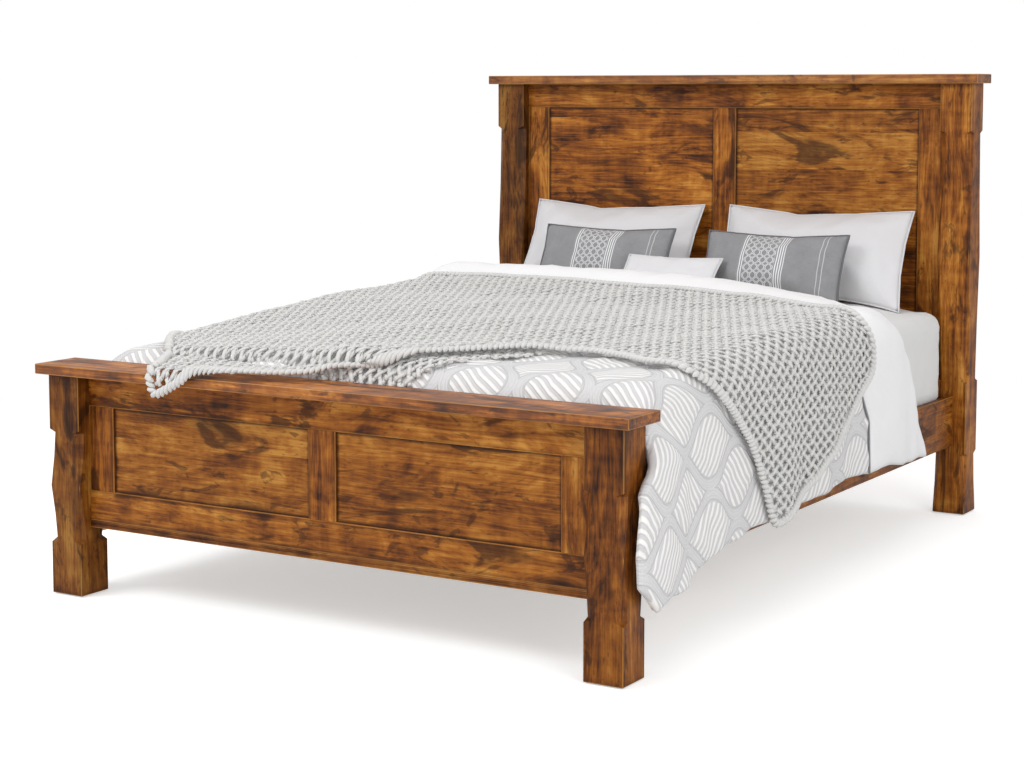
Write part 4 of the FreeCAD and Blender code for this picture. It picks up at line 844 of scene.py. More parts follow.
class StitchTree:
    """Builds the node group that repeats stitches over a draped sheet."""

    def __init__(self):
        self.tree = bpy.data.node_groups.new("stitches on a draped sheet", "GeometryNodeTree")
        self.sockets = {}
        for name, kind in (
            ("Places", "NodeSocketGeometry"),
            ("Stitch", "NodeSocketObject"),
            ("Other stitch", "NodeSocketObject"),
            ("Draped sheet", "NodeSocketObject"),
            ("Yarn", "NodeSocketMaterial"),
        ):
            self.sockets[name] = self.tree.interface.new_socket(name, in_out="INPUT", socket_type=kind)
        self.tree.interface.new_socket("Cloth", in_out="OUTPUT", socket_type="NodeSocketGeometry")
        self.given = self.tree.nodes.new("NodeGroupInput")
        self.build()

    def add(self, kind, settings=None, sockets=None):
        node = self.tree.nodes.new(kind)
        for name, value in (settings or {}).items():
            setattr(node, name, value)
        for name, value in (sockets or {}).items():
            if isinstance(value, bpy.types.NodeSocket):
                self.tree.links.new(value, node.inputs[name])
            else:
                node.inputs[name].default_value = value
        return node

    def attribute(self, name, kind):
        return self.add("GeometryNodeInputNamedAttribute", {"data_type": kind}, {"Name": name}).outputs["Attribute"]

    def build(self):
        turn = self.attribute("turn", "FLOAT_VECTOR")
        other = self.attribute("other", "BOOLEAN")
        first = self.instances("Stitch", self.add("FunctionNodeBooleanMath", {"operation": "NOT"}, {0: other}).outputs[0], turn)
        second = self.instances("Other stitch", other, turn)
        both = self.add("GeometryNodeJoinGeometry")
        self.tree.links.new(first, both.inputs[0])
        self.tree.links.new(second, both.inputs[0])
        real = self.add("GeometryNodeRealizeInstances", None, {"Geometry": both.outputs[0]})
        sheet = self.add("GeometryNodeObjectInfo", None, {"Object": self.given.outputs["Draped sheet"]}).outputs["Geometry"]
        flat_place = self.add("GeometryNodeInputPosition").outputs[0]
        place = self.on_sheet(sheet, self.add("GeometryNodeInputPosition").outputs[0], flat_place)
        normal = self.on_sheet(sheet, self.attribute("lie", "FLOAT_VECTOR"), flat_place)
        height = self.add("ShaderNodeSeparateXYZ", None, {0: flat_place}).outputs["Z"]
        lift = self.add("ShaderNodeVectorMath", {"operation": "SCALE"}, {0: normal, "Scale": height}).outputs[0]
        there = self.add("ShaderNodeVectorMath", {"operation": "ADD"}, {0: place, 1: lift}).outputs[0]
        moved = self.add("GeometryNodeSetPosition", None, {"Geometry": real.outputs[0], "Position": there})
        side = self.add("FunctionNodeBooleanMath", {"operation": "NOT"}, {0: self.attribute("end", "BOOLEAN")}).outputs[0]
        round_ = self.add("GeometryNodeSetShadeSmooth", None, {"Geometry": moved.outputs[0], "Shade Smooth": side})
        made = self.add(
            "GeometryNodeSetMaterial", None, {"Geometry": round_.outputs[0], "Material": self.given.outputs["Yarn"]}
        )
        out = self.tree.nodes.new("NodeGroupOutput")
        self.tree.links.new(made.outputs[0], out.inputs[0])

    def instances(self, name, chosen, turn):
        stitch = self.add("GeometryNodeObjectInfo", None, {"Object": self.given.outputs[name]}).outputs["Geometry"]
        node = self.add(
            "GeometryNodeInstanceOnPoints", None,
            {"Points": self.given.outputs["Places"], "Selection": chosen, "Instance": stitch},
        )
        angles = self.add("FunctionNodeEulerToRotation", None, {0: turn})
        self.tree.links.new(angles.outputs[0], node.inputs["Rotation"])
        return node.outputs[0]

    def on_sheet(self, sheet, value, flat_place):
        flat = self.attribute("flat", "FLOAT_VECTOR")
        node = self.add("GeometryNodeSampleUVSurface", {"data_type": "FLOAT_VECTOR"}, {"Mesh": sheet, "Value": value})
        self.tree.links.new(flat, node.inputs["Source UV Map"])
        self.tree.links.new(flat_place, node.inputs["Sample UV"])
        return node.outputs["Value"]

    def run(self, name, places, angles, other, stitches, sheet, yarn):
        """Repeats the stitches at flat places and gives back the draped mesh as a piece."""
        host = hidden_mesh(name, places)
        turn = host.data.attributes.new("turn", "FLOAT_VECTOR", "POINT")
        turn.data.foreach_set("vector", np.stack([0 * angles, 0 * angles, angles], axis=1).astype(np.float32).ravel())
        flag = host.data.attributes.new("other", "BOOLEAN", "POINT")
        flag.data.foreach_set("value", np.asarray(other, bool))
        modifier = host.modifiers.new("stitches", "NODES")
        modifier.node_group = self.tree
        values = {
            "Stitch": stitches[0],
            "Other stitch": stitches[1],
            "Draped sheet": sheet,
            "Yarn": yarn,
        }
        for key, value in values.items():
            modifier[self.sockets[key].identifier] = value
        bpy.context.view_layer.update()
        seen = host.evaluated_get(bpy.context.evaluated_depsgraph_get())
        mesh = bpy.data.meshes.new_from_object(seen)
        host.modifiers.clear()
        host.data = mesh
        mesh.name = name
        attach(host, BED)
        return host


def draped_grid(name, s, t, lift, over_cap):
    """A hidden sheet over the bed for the stitches to lie on, with its flat places and its normals."""
    s, t = np.meshgrid(s, t)
    points, normals = cover(s, t, lift(s, t), over_cap)
    sheet = hidden_mesh(name, points.reshape(-1, 3), grid_faces(*s.shape))
    mesh = sheet.data
    layer = mesh.uv_layers.new(name="flat")
    corners = np.zeros(len(mesh.loops), np.int32)
    mesh.loops.foreach_get("vertex_index", corners)
    flat = np.stack([s.ravel(), t.ravel()], axis=1).astype(np.float32)
    layer.data.foreach_set("uv", flat[corners].ravel())
    lie = mesh.attributes.new("lie", "FLOAT_VECTOR", "POINT")
    lie.data.foreach_set("vector", normals.astype(np.float32).ravel())
    return sheet


class BED_OT_make_throw(bpy.types.Operator):
    """Crochets the openwork throw and its rope edge over the comforter"""

    bl_idname = "bed.make_throw"
    bl_label = "Throw"

    def execute(self, context):
        yarn = yarn_finish("yarn", tuple(context.scene.bed_colours.yarn))
        tree = StitchTree()
        stitches = crossing("over", True), crossing("under", False)
        rope = rope_turn("rope")
        sheet = draped_grid(
            "drape", np.arange(-1.12, 1.34, 0.012), np.arange(-1.30, 0.60, 0.012), self.upper_lift, True
        )
        for name, low, high in (("left", -9, -0.28), ("middle", -0.28, 0.36), ("right", 0.36, 9)):
            self.lattice(tree, f"throw_{name}", THROW_OUTLINE, low, high, stitches, sheet, yarn)
        edge, angles = spaced(THROW_OUTLINE, 0.0142)
        rope_edge = tree.run(
            "throw_rope_edge", np.c_[edge, np.zeros(len(edge))], angles, np.zeros(len(edge)), (rope, rope), sheet, yarn
        )
        lower = draped_grid(
            "lower drape", np.arange(-0.35, 0.60, 0.012), np.arange(-1.12, -0.50, 0.012), lambda s, t: 0.006 + 0 * s, False
        )
        under = self.lattice(tree, "throw_folded_under", THROW_UNDER, -9, 9, stitches, lower, yarn)
        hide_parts("throw")
        for spare in (*stitches, rope, sheet, lower):
            bpy.data.objects.remove(spare)
        return {"FINISHED"}

    flats = ((0.72, 1.50), (0.64, 1.45), (0.90, 1.02))

    def upper_lift(self, s, t):
        """The throw's middle layer above the comforter, with its own soft folds and the layer folded under."""
        under = smooth(inset(THROW_UNDER, s, t), -0.03, 0.03)
        return 0.0105 + 0.011 * under + 0.0015 * ripple(s * 2, t * 2, 3.0)

    def lattice(self, tree, name, outline, low, high, stitches, sheet, yarn):
        wide, long = STITCH_WIDE, STITCH_LONG
        i, j = np.meshgrid(np.arange(-60, 60), np.arange(-120, 120))
        u = (i + 0.5 * (j % 2)) * wide
        v = j * long / 2
        cos, sin = math.cos(THROW_TURN), math.sin(THROW_TURN)
        s = (u * cos - v * sin).ravel()
        t = (u * sin + v * cos).ravel()
        keep = (inset(outline, s, t) > 0.006) & (s >= low) & (s < high)
        s, t, other = s[keep], t[keep], (j % 2).ravel()[keep] == 1
        rng = np.random.default_rng(7)
        s, t = s + rng.normal(0, 0.0009, len(s)), t + rng.normal(0, 0.0012, len(s))
        places = np.stack([s, t, rng.normal(0, 0.0005, len(s))], axis=1)
        return tree.run(name, places, THROW_TURN + rng.normal(0, 0.09, len(s)), other, stitches, sheet, yarn)


def yarn_finish(name, colour):
    """Matte plied wool."""
    finish = Finish(name)
    x, y, z = finish.axes()
    place = finish.join(x, y, z)
    fuzz = finish.noise(place, 900.0, 2.0, 0.6)
    clump = finish.noise(place, 60.0, 2.0)
    tint = finish.blend(0.5 + (fuzz - 0.5) * 0.7 + (clump - 0.5) * 0.5, tuple(c * 0.86 for c in colour), colour)
    return finish.surface(
        Base_Color=tint,
        Roughness=0.92 + (fuzz - 0.5) * 0.08,
        Normal=finish.bump(fuzz, 0.0006, 0.5),
        Sheen_Weight=0.2,
        Specular_IOR_Level=0.2,
    )


def quilt_finish(name):
    """Grey ground in bands between cells of white cords, read from the cloth's own flat places."""
    colours = bpy.context.scene.bed_colours
    finish = Finish(name)
    s, t, _ = finish.axes("UV")
    q = s / OGEE_WIDE
    wave = 0.40 * finish.sine(t * (2 * math.pi / OGEE_LONG))
    first = finish.floor(q)
    odd = finish.math("FLOORED_MODULO", first, 2.0) * 2.0 - 1.0
    near = q - first - odd * wave
    far = q - first - 1.0 + odd * wave
    distance = finish.least(finish.absolute(near), finish.absolute(far)) * (OGEE_WIDE * 0.72)
    cell = first + finish.math("GREATER_THAN", far, 0.0) - finish.math("LESS_THAN", near, 0.0)
    lean = finish.math("FLOORED_MODULO", cell, 2.0) * 2.0 - 1.0
    wobble = finish.noise(finish.join(s, t, 0.0), 14.0, 2.0) * 0.006
    across = (s * 0.62 * lean + t * 0.78 + wobble + distance * distance * 1.2) * (2 * math.pi / 0.0185)
    cord = finish.sine(across) * 0.5 + 0.5
    cord = finish.between(cord, 0.22, 0.78)
    inside = finish.between(distance, OGEE_BAND * 0.42, OGEE_BAND * 0.60)
    seam = finish.between(finish.absolute(distance - OGEE_BAND * 0.46), 0.0030, 0.0008)
    weave = finish.sine(s * 2900.0) * finish.sine(t * 2900.0)
    crinkle = finish.noise(finish.join(s, t, 0.0), 70.0, 3.0, 0.6)
    knit = finish.sine(distance * (2 * math.pi / 0.0058)) * 0.5 + 0.5
    knit = knit * (finish.sine((s + t) * 900.0) * finish.sine((s - t) * 900.0) * 0.35 + 0.65)
    ground, white = tuple(colours.quilt), tuple(colours.cords)
    patchy = finish.noise(finish.join(s, t, 4.0), 26.0, 3.0, 0.6)
    tint = finish.blend(cord * inside * (0.72 + patchy * 0.45), ground, white)
    tint = finish.blend((1.0 - inside) * (0.1 + knit * 0.8), tint, tuple(min(1.0, c * 1.2) for c in ground))
    # The seam along each band's edge is sunk by the bump and drawn darker too: painted shade in the groove.
    tint = finish.blend(seam * 0.30, tint, tuple(c * 0.70 for c in ground))
    height = cord * inside * 1.0 - seam * 0.8 + crinkle * 0.5 + knit * (1.0 - inside) * 0.6 + weave * 0.04
    return finish.surface(
        Base_Color=tint,
        Roughness=0.9 + (crinkle - 0.5) * 0.1,
        Normal=finish.bump(height, 0.0035, 0.65),
        Sheen_Weight=0.12,
        Specular_IOR_Level=0.2,
    )


def across_columns(fine):
    """Evenly graded places across the cover: wide on the level part, fine on the edges and drops."""
    half = np.concatenate([
        np.arange(0, FLAT - 0.04, fine * 2.4),
        np.arange(FLAT - 0.04, DROP_START, fine * 1.5),
        np.linspace(DROP_START, 1.22, int(0.36 / fine)),
    ])
    return np.concatenate([-half[:0:-1], half])


def cover_piece(columns, head, foot, rows, lift, hem_extra=0.0):
    """Outer surface, normals and flat places of a cover between a foot line and a head line."""
    side = np.sign(columns)
    away = np.abs(columns)
    v = np.linspace(0, 1, rows)[:, None]
    s = np.repeat(columns[None, :], rows, axis=0)
    for _ in range(2):
        t = foot(s) * (1 - v) + head(s) * v
        hem = side_hem(t, side[None, :]) + hem_extra
        share = np.clip((away[None, :] - DROP_START) / (1.22 - DROP_START), 0, 1)
        s = side[None, :] * np.where(share > 0, DROP_START + share * (hem - DROP_START), away[None, :])
    t = foot(s) * (1 - v) + head(s) * v
    points, normals = cover(s, t, lift(s, t))
    return points, normals, np.stack([s, t], axis=-1)


class BED_OT_make_comforter(bpy.types.Operator):
    """Makes the quilted comforter with its raised cells and dark piped edge"""

    bl_idname = "bed.make_comforter"
    bl_label = "Comforter"

    def execute(self, context):
        fine = 0.0055
        columns = across_columns(fine)
        points, normals, flat = cover_piece(columns, comforter_head, foot_edge, 300, self.relief)
        thick = 0.024 + 0 * flat[..., 0]
        made = shell(points, normals, thick, 0.014, flat)
        piece = make_piece("comforter_quilt", made[0], made[1], [quilt_finish("quilt")], made[2])
        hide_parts("comforter")

        s = flat[-1, ::2, 0]
        path, _ = cover(s, comforter_head(s) + 0.002, -0.004 + 0 * s)
        points, faces = tube(path, 0.0031, 6, up=cover(s, comforter_head(s))[1])
        piping = make_piece("comforter_piping", points, faces, [woven_cloth("piping", shade(136, 136, 139))])
        reface(piping)
        return {"FINISHED"}

    def relief(self, s, t):
        """Each ogee cell swells a little between its sunk bands."""
        distance, cell = ogee(s, t)
        swell = smooth(distance, OGEE_BAND * 0.35, OGEE_BAND * 1.6)
        return -0.0045 + 0.0055 * swell + 0.0015 * ripple(s * 3, t * 3, 5.0)


class BED_OT_make_duvet(bpy.types.Operator):
    """Makes the plump white duvet that is turned back at the head"""

    bl_idname = "bed.make_duvet"
    bl_label = "Duvet"

    def execute(self, context):
        columns = across_columns(0.009)
        points, normals, flat = cover_piece(
            columns, duvet_head, lambda s: comforter_head(s) - 0.035, 44, self.plump, hem_extra=0.004
        )
        thick = 0.030 + 0 * flat[..., 0]
        made = shell(points, normals, thick, 0.035, flat, outer_drop=0.45)
        white = woven_cloth("white_linen", tuple(context.scene.bed_colours.white))
        piece = make_piece("duvet_turned_back", made[0], made[1], [white], made[2])
        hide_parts("duvet")
        return {"FINISHED"}

    def plump(self, s, t):
        """Under the comforter's edge at its foot side, full in the middle."""
        low, high = comforter_head(s), duvet_head(s)
        share = np.clip((t - low) / (high - low), 0, 1)
        crown = np.sin(np.clip(share, 0, 1) * math.pi) ** 0.7
        full = 0.014 + 0.032 * (1 - smooth(s, 0.05, 0.62)) * smooth(s, -0.86, -0.70)
        tuck = -0.026 * smooth(t, low + 0.012, low - 0.012)
        crease = 0.0022 * ripple(s * 4.0, t * 4.0, 7.0) + 0.0012 * ripple(s * 11.0, t * 9.0, 8.0)
        return tuck + full * crown - 0.001 + crease


class BED_OT_make_mattress(bpy.types.Operator):
    """Makes the mattress in its fitted sheet"""

    bl_idname = "bed.make_mattress"
    bl_label = "Mattress"

    def execute(self, context):
        low, high = (np.array(corner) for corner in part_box("mattress"))
        nx, ny, nz = 70, 92, 16
        x = np.linspace(low[0], high[0], nx)
        y = np.linspace(low[1], high[1], ny)
        z = np.linspace(low[2], high[2], nz)
        radius = np.array([0.055, 0.055, 0.045])
        points, faces = [], []

        def add(u, v, make, flip):
            start = sum(len(p) for p in points)
            a, b = np.meshgrid(u, v)
            points.append(make(a, b).reshape(-1, 3))
            faces.append(grid_faces(len(v), len(u), start, flip))

        add(x, y, lambda a, b: np.stack([a, b, 0 * a + high[2]], -1), False)
        add(x, y, lambda a, b: np.stack([a, b, 0 * a + low[2]], -1), True)
        add(x, z, lambda a, b: np.stack([a, 0 * a + low[1], b], -1), False)
        add(x, z, lambda a, b: np.stack([a, 0 * a + high[1], b], -1), True)
        add(y, z, lambda a, b: np.stack([0 * a + low[0], a, b], -1), True)
        add(y, z, lambda a, b: np.stack([0 * a + high[0], a, b], -1), False)
        points = np.concatenate(points)
        core = np.clip(points, low + radius, high - radius)
        away = (points - core) / radius
        length = np.linalg.norm(away, axis=1, keepdims=True)
        biggest = np.abs(away).max(axis=1, keepdims=True)
        points = core + away * np.where(length > 0, biggest / np.maximum(length, 1e-9), 1) * radius
        sx, sy, sz = points.T
        wrinkle = 0.0018 * ripple(sx * 6 + sz * 9, sy * 5 + sz * 4, 2.0) + 0.0009 * ripple(sx * 19, sy * 17 + sz * 23, 6.0)
        outward = away / np.maximum(length, 1e-9)
        points = points + outward * (wrinkle - 0.0015)[:, None]
        lid = cover_base(points[:, 0], np.maximum(points[:, 1], -0.93))[:, 2] - 0.036
        covered = points[:, 1] < 0.30
        points[:, 2] = np.where(covered, np.minimum(points[:, 2], np.maximum(lid, low[2])), points[:, 2])
        foot = points[:, 2] > 0.50
        points[:, 1] = np.where(foot, np.maximum(points[:, 1], -0.958), points[:, 1])
        aside = np.abs(points[:, 0])
        points[:, 0] *= 1 + 0.019 * smooth(points[:, 2], 0.366, 0.372) * smooth(aside, 0.5, 0.76)
        points[:, 2] -= 0.022 * smooth(aside, 0.52, 0.72) * smooth(points[:, 2], 0.50, 0.64) * smooth(points[:, 1], 0.2, 0.6)
        cloth = woven_cloth("fitted_sheet", tuple(context.scene.bed_colours.sheet), mottling=0.03)
        piece = make_piece("mattress_in_sheet", points, np.concatenate(faces), [cloth])
        self.weld(piece)
        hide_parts("mattress")
        return {"FINISHED"}

    def weld(self, piece):
        import bmesh

        work = bmesh.new()
        work.from_mesh(piece.data)
        bmesh.ops.remove_doubles(work, verts=work.verts, dist=0.0008)
        bmesh.ops.recalc_face_normals(work, faces=work.faces)
        work.to_mesh(piece.data)
        work.free()


# ---------------------------------------------------------------- pillows and cushions


def flat_cushion(name, width, length, step):
    """A closed cushion cover laid flat, a little apart in the middle, its seam all round."""
    nx, ny = int(width / step) + 1, int(length / step) + 1
    x, y = np.meshgrid(np.linspace(-0.5, 0.5, nx), np.linspace(0, 1, ny))
    crown = np.clip((1 - (2 * x) ** 4) * (1 - (2 * y - 1) ** 4), 0, 1) ** 0.5 * 0.018
    front = np.stack([x * width, y * length, crown], -1).reshape(-1, 3)
    back = front * (1, 1, -1)
    count = nx * ny
    rim = np.zeros((ny, nx), bool)
    rim[0, :] = rim[-1, :] = rim[:, 0] = rim[:, -1] = True
    index = np.arange(count).reshape(ny, nx)
    inner = np.flatnonzero(~rim.ravel())
    back_index = index.ravel().copy()
    back_index[inner] = count + np.arange(len(inner))
    faces = np.concatenate([grid_faces(ny, nx), back_index[grid_faces(ny, nx, flip=True)]])
    points = np.concatenate([front, back[inner]])
    mesh = bpy.data.meshes.new(name)
    mesh.from_pydata([tuple(p) for p in points], [], [tuple(int(i) for i in f) for f in faces])
    thing = bpy.data.objects.new(name, mesh)
    bpy.context.scene.collection.objects.link(thing)
    flat = np.stack([x.ravel(), y.ravel()], 1)
    return thing, np.concatenate([flat, flat[inner]])


def blown_up(thing, pressure, frames, shrink):
    """Fills the cover with air under gravity-free cloth simulation and gives back its points."""
    scene = bpy.context.scene
    cloth = thing.modifiers.new("air", "CLOTH")
    settings = cloth.settings
    settings.quality = 6
    settings.mass = 0.25
    settings.use_pressure = True
    settings.uniform_pressure_force = pressure
    settings.tension_stiffness = settings.compression_stiffness = 22
    settings.shear_stiffness = 12
    settings.bending_stiffness = 0.35
    settings.shrink_min = shrink
    settings.effector_weights.gravity = 0
    cloth.point_cache.frame_start = 1
    cloth.point_cache.frame_end = frames
    for number in range(1, frames + 1):
        scene.frame_set(number)
    seen = thing.evaluated_get(bpy.context.evaluated_depsgraph_get())
    points = np.zeros(len(seen.data.vertices) * 3, np.float32)
    seen.data.vertices.foreach_get("co", points)
    thing.modifiers.clear()
    scene.frame_set(1)
    return points.reshape(-1, 3).astype(float)


def domed(flat, width, length):
    x, y = flat[:, 0], flat[:, 1]
    dome = np.clip((1 - (2 * x) ** 2) * (1 - (2 * y - 1) ** 2), 0, 1) ** 0.5
    waist, drawn = 1 - 0.035 * (1 - (2 * y - 1) ** 2), 1 - 0.045 * (1 - (2 * x) ** 2)
    return np.stack([x * width * waist, (0.5 + (y - 0.5) * drawn) * length, dome], 1)


class Cushion:
    """A filled cover, stood on its lower edge and leant back."""

    def __init__(self, name, width, length, thick, rise, place, step, seed):
        self.name, self.size = name, np.array([width, length, thick])
        self.rise, self.place, self.seed = math.radians(rise), np.array(place), seed
        self.thing, self.flat = flat_cushion(name, width, length, step)

    def fill(self):
        width, length, thick = self.size
        points = domed(self.flat, width, length)
        count = len(self.flat)
        sign = np.ones(count)
        sign[len(np.unique(np.round(self.flat, 6), axis=0)):] = -1
        points[:, 2] *= sign
        points = self.sized(points)
        # the air rounds the form; the filling keeps the outline nearer its cut
        kept = np.array([0.86, 0.86, 0.15])
        points = self.sized(points * kept + self.sized(blown_up(self.thing, 4.0, 20, 0.02)) * (1 - kept))
        dents = 0.0035 * ripple(points[:, 0] * 3.0, points[:, 1] * 3.4, self.seed)
        dents = dents + 0.0014 * ripple(points[:, 0] * 13.0, points[:, 1] * 9.0, self.seed + 4)
        dents = dents + self.corner_creases()
        points[:, 2] += dents * np.sign(points[:, 2]) * np.clip(np.abs(points[:, 2]) / 0.02, 0, 1)
        sag = 0.004 * np.cos(self.flat[:, 0] * math.pi) ** 2 * self.flat[:, 1]
        points[:, 1] -= sag
        cos, sin = math.cos(self.rise), math.sin(self.rise)
        turned = np.stack([points[:, 0], points[:, 1] * cos - points[:, 2] * sin, points[:, 1] * sin + points[:, 2] * cos], 1)
        self.points = turned + self.place

    def sized(self, points):
        """The same form, scaled to fill the cushion's size."""
        low, high = points.min(axis=0), points.max(axis=0)
        return (points - (low + high) / 2 * (1, 0, 1) - low * (0, 1, 0)) / (high - low) * self.size

    def slide_foot(self, along):
        """Sets the lower edge further along the bed's width than the upper one."""
        self.points[:, 0] += along * (1 - self.flat[:, 1])

    def drop_corner(self, out, down):
        """Lets the lower right corner slide out and down over the mattress's edge."""
        weight = np.clip(self.flat[:, 0] * 2, 0, 1) ** 3 * (1 - self.flat[:, 1]) ** 1.5
        self.points = self.points + weight[:, None] * np.array([out, 0, -down])

    def corner_creases(self):
        """Folds that run from each corner into the filling."""
        total = 0.0
        for number, (x, y) in enumerate(((-0.5, 0), (0.5, 0), (-0.5, 1), (0.5, 1))):
            dx, dy = (self.flat[:, 0] - x) * self.size[0], (self.flat[:, 1] - y) * self.size[1]
            away = np.hypot(dx, dy)
            turn = np.arctan2(dy, dx) + 1.3 * away / self.size[1]
            total = total + 0.0042 * np.sin(turn * 11.0 + number + self.seed) * np.clip(away / 0.03, 0, 1) * np.exp(-away / 0.075)
        return total

    def rest_on(self, floor):
        self.points[:, 2] = np.maximum(self.points[:, 2], floor(self.points))

    def stand_before(self, wall):
        self.points[:, 1] = np.minimum(self.points[:, 1], wall)

    def finish(self, materials, slot, node, fill):
        mesh = self.thing.data
        mesh.vertices.foreach_set("co", self.points.astype(np.float32).ravel())
        layer = mesh.uv_layers.new(name="flat")
        corners = np.zeros(len(mesh.loops), np.int32)
        mesh.loops.foreach_get("vertex_index", corners)
        uv = (self.flat * self.size[:2]).astype(np.float32)
        layer.data.foreach_set("uv", uv[corners].ravel())
        mesh.polygons.foreach_set("use_smooth", np.ones(len(mesh.polygons), bool))
        for material in materials:
            mesh.materials.append(material)
        mesh.update()
        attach(self.thing, BED)
        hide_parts(node)

    def seam_path(self):
        """The points of the seam, in order round the cover."""
        x, y = self.flat[:, 0], self.flat[:, 1]
        count = len(np.unique(np.round(self.flat, 6), axis=0))
        on_rim = np.flatnonzero((np.abs(np.abs(x) - 0.5) < 1e-6) | (np.abs(y) < 1e-6) | (np.abs(y - 1) < 1e-6))
        on_rim = on_rim[on_rim < count]
        angle = np.arctan2((y[on_rim] - 0.5), x[on_rim])
        return self.points[on_rim[np.argsort(angle)]]


def seam_ring(name, path, radius, material):
    """A closed piped seam along a ring of points."""
    path = np.concatenate([path, path[:1]])
    points, faces = tube(path, radius, 6, up=np.tile([0.0, -0.74, 0.67], (len(path), 1)))
    ring = make_piece(name, points, faces, [material])
    reface(ring)
    return ring


def cushion_finish(name, centre):
    """Grey linen with a white lattice between stripes, and two thin lines near one end."""
    colours = bpy.context.scene.bed_colours
    finish = Finish(name)
    u, v, _ = finish.axes("UV")
    grey = tuple(colours.grey)
    white = shade(226, 226, 228)
    slub = finish.noise(finish.join(u * 60.0, v * 900.0, 0.0), 1.0, 2.0)
    slub_up = finish.noise(finish.join(u * 900.0, v * 60.0, 0.0), 1.0, 2.0)
    cloud = finish.noise(finish.join(u, v, 0.0), 22.0, 3.0)
    from_band = finish.absolute(u - centre)
    pitch = 2 * math.pi / 0.056
    bend = finish.sine(v * pitch) * 0.0125
    lattice = 9.0
    for shift in (-0.0375, -0.0125, 0.0125, 0.0375):
        for sign in (1.0, -1.0):
            line = finish.absolute(u - (centre + shift) - bend * sign)
            lattice = line if isinstance(lattice, float) else finish.least(lattice, line)
    double = finish.absolute(lattice - 0.0024)
    drawn = finish.between(double, 0.0016, 0.0007) * finish.between(from_band, 0.054, 0.052)
    stripes = finish.sine(u * (2 * math.pi / 0.0078)) * 0.5 + 0.5
    right = finish.math("GREATER_THAN", u, centre)
    striped = finish.between(stripes, 0.35, 0.75) * finish.between(from_band, 0.051, 0.054)
    striped = striped * finish.between(from_band - right * 0.012, 0.073, 0.070)
    line_a = finish.between(finish.absolute(u - 0.168), 0.0016, 0.0008)
    line_b = finish.between(finish.absolute(u - 0.181), 0.0016, 0.0008)
    pale = finish.most(finish.most(drawn, striped), finish.most(line_a, line_b) * 0.55)
    tint = finish.blend((slub - 0.5) * 0.8 + (slub_up - 0.5) * 0.6 + (cloud - 0.5) * 0.7 + 0.5, tuple(c * 0.74 for c in grey), tuple(min(1, c * 1.2) for c in grey))
    tint = finish.blend(pale, tint, white)
    height = slub * 0.4 + slub_up * 0.3 + pale * 0.9
    return finish.surface(
        Base_Color=tint,
        Roughness=0.9 + (slub - 0.5) * 0.08,
        Normal=finish.bump(height, 0.0010, 0.5),
        Sheen_Weight=0.12,
        Specular_IOR_Level=0.2,
    )


class BED_OT_make_pillows(bpy.types.Operator):
    """Fills the pillows and cushions and leans them on the headboard"""

    bl_idname = "bed.make_pillows"
    bl_label = "Pillows and cushions"

    def execute(self, context):
        colours = context.scene.bed_colours
        # The pillows and the small cushion wear the white linen drawn darker than the duvet's: painted shade.
        white = woven_cloth("pillow_linen_shaded", shade(217, 216, 218), mottling=0.05)
        dark = woven_cloth("cushion_piping", shade(104, 104, 107))
        edge = woven_cloth("pillow_edge", shade(214, 214, 216))
        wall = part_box("head_panel_left")[0][1] - 0.002
        sheet_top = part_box("mattress")[1][2]

        def on_sheet(points):
            edge = smooth(np.abs(points[:, 0]), 0.52, 0.72)
            return sheet_top + 0.001 - 0.022 * edge

        for side, name, seed in ((-0.378, "left", 1.0), (0.338, "right", 2.3)):
            pillow = Cushion(f"pillow_{name}_filled", 0.626, 0.340, 0.146, 54, (side, 0.8850, 0.6503), 0.0115, seed)
            pillow.fill()
            pillow.slide_foot(0.028)
            if name == "right":
                pillow.drop_corner(0.004, 0.020)
            pillow.rest_on(on_sheet)
            pillow.stand_before(wall)
            pillow.finish([white], "white_linen", f"pillow_{name}", 0.7)
            seam_ring(f"pillow_{name}_seam", pillow.seam_path(), 0.0028, edge)
        for side, name, seed in ((-0.306, "left", 4.0), (0.284, "right", 5.3)):
            cushion = Cushion(f"cushion_{name}_filled", 0.470, 0.246, 0.103, 57, (side, 0.7560, 0.6503), 0.0105, seed)
            cushion.fill()
            cushion.slide_foot(0.018)
            cushion.rest_on(on_sheet)
            cushion.finish([cushion_finish(f"grey_{name}", -0.026)], "grey_linen", f"cushion_{name}", 0.75)
            seam_ring(f"cushion_{name}_seam", cushion.seam_path(), 0.0034, dark)
        small = Cushion("cushion_small_filled", 0.326, 0.172, 0.048, 35, (-0.012, 0.6330, 0.6806), 0.0095, 8.0)
        small.fill()
        small.slide_foot(0.020)
        small.finish([white], "white_linen", "cushion_small", 0.7)
        seam_ring("cushion_small_seam", small.seam_path(), 0.0026, edge)
        return {"FINISHED"}


# ---------------------------------------------------------------- the stage


def aim(thing, place, target):
    """Puts a lamp or camera at a place and turns it towards a target."""
    thing.location = place
    direction = Vector(target) - Vector(place)
    thing.rotation_euler = direction.to_track_quat("-Z", "Y").to_euler()


def softbox(name, place, target, size, power):
    data = bpy.data.lights.new(name, "AREA")
    data.shape = "RECTANGLE"
    data.size, data.size_y = size
    data.energy = power
    lamp = bpy.data.objects.new(name, data)
    bpy.context.scene.collection.objects.link(lamp)
    aim(lamp, place, target)
    return lamp


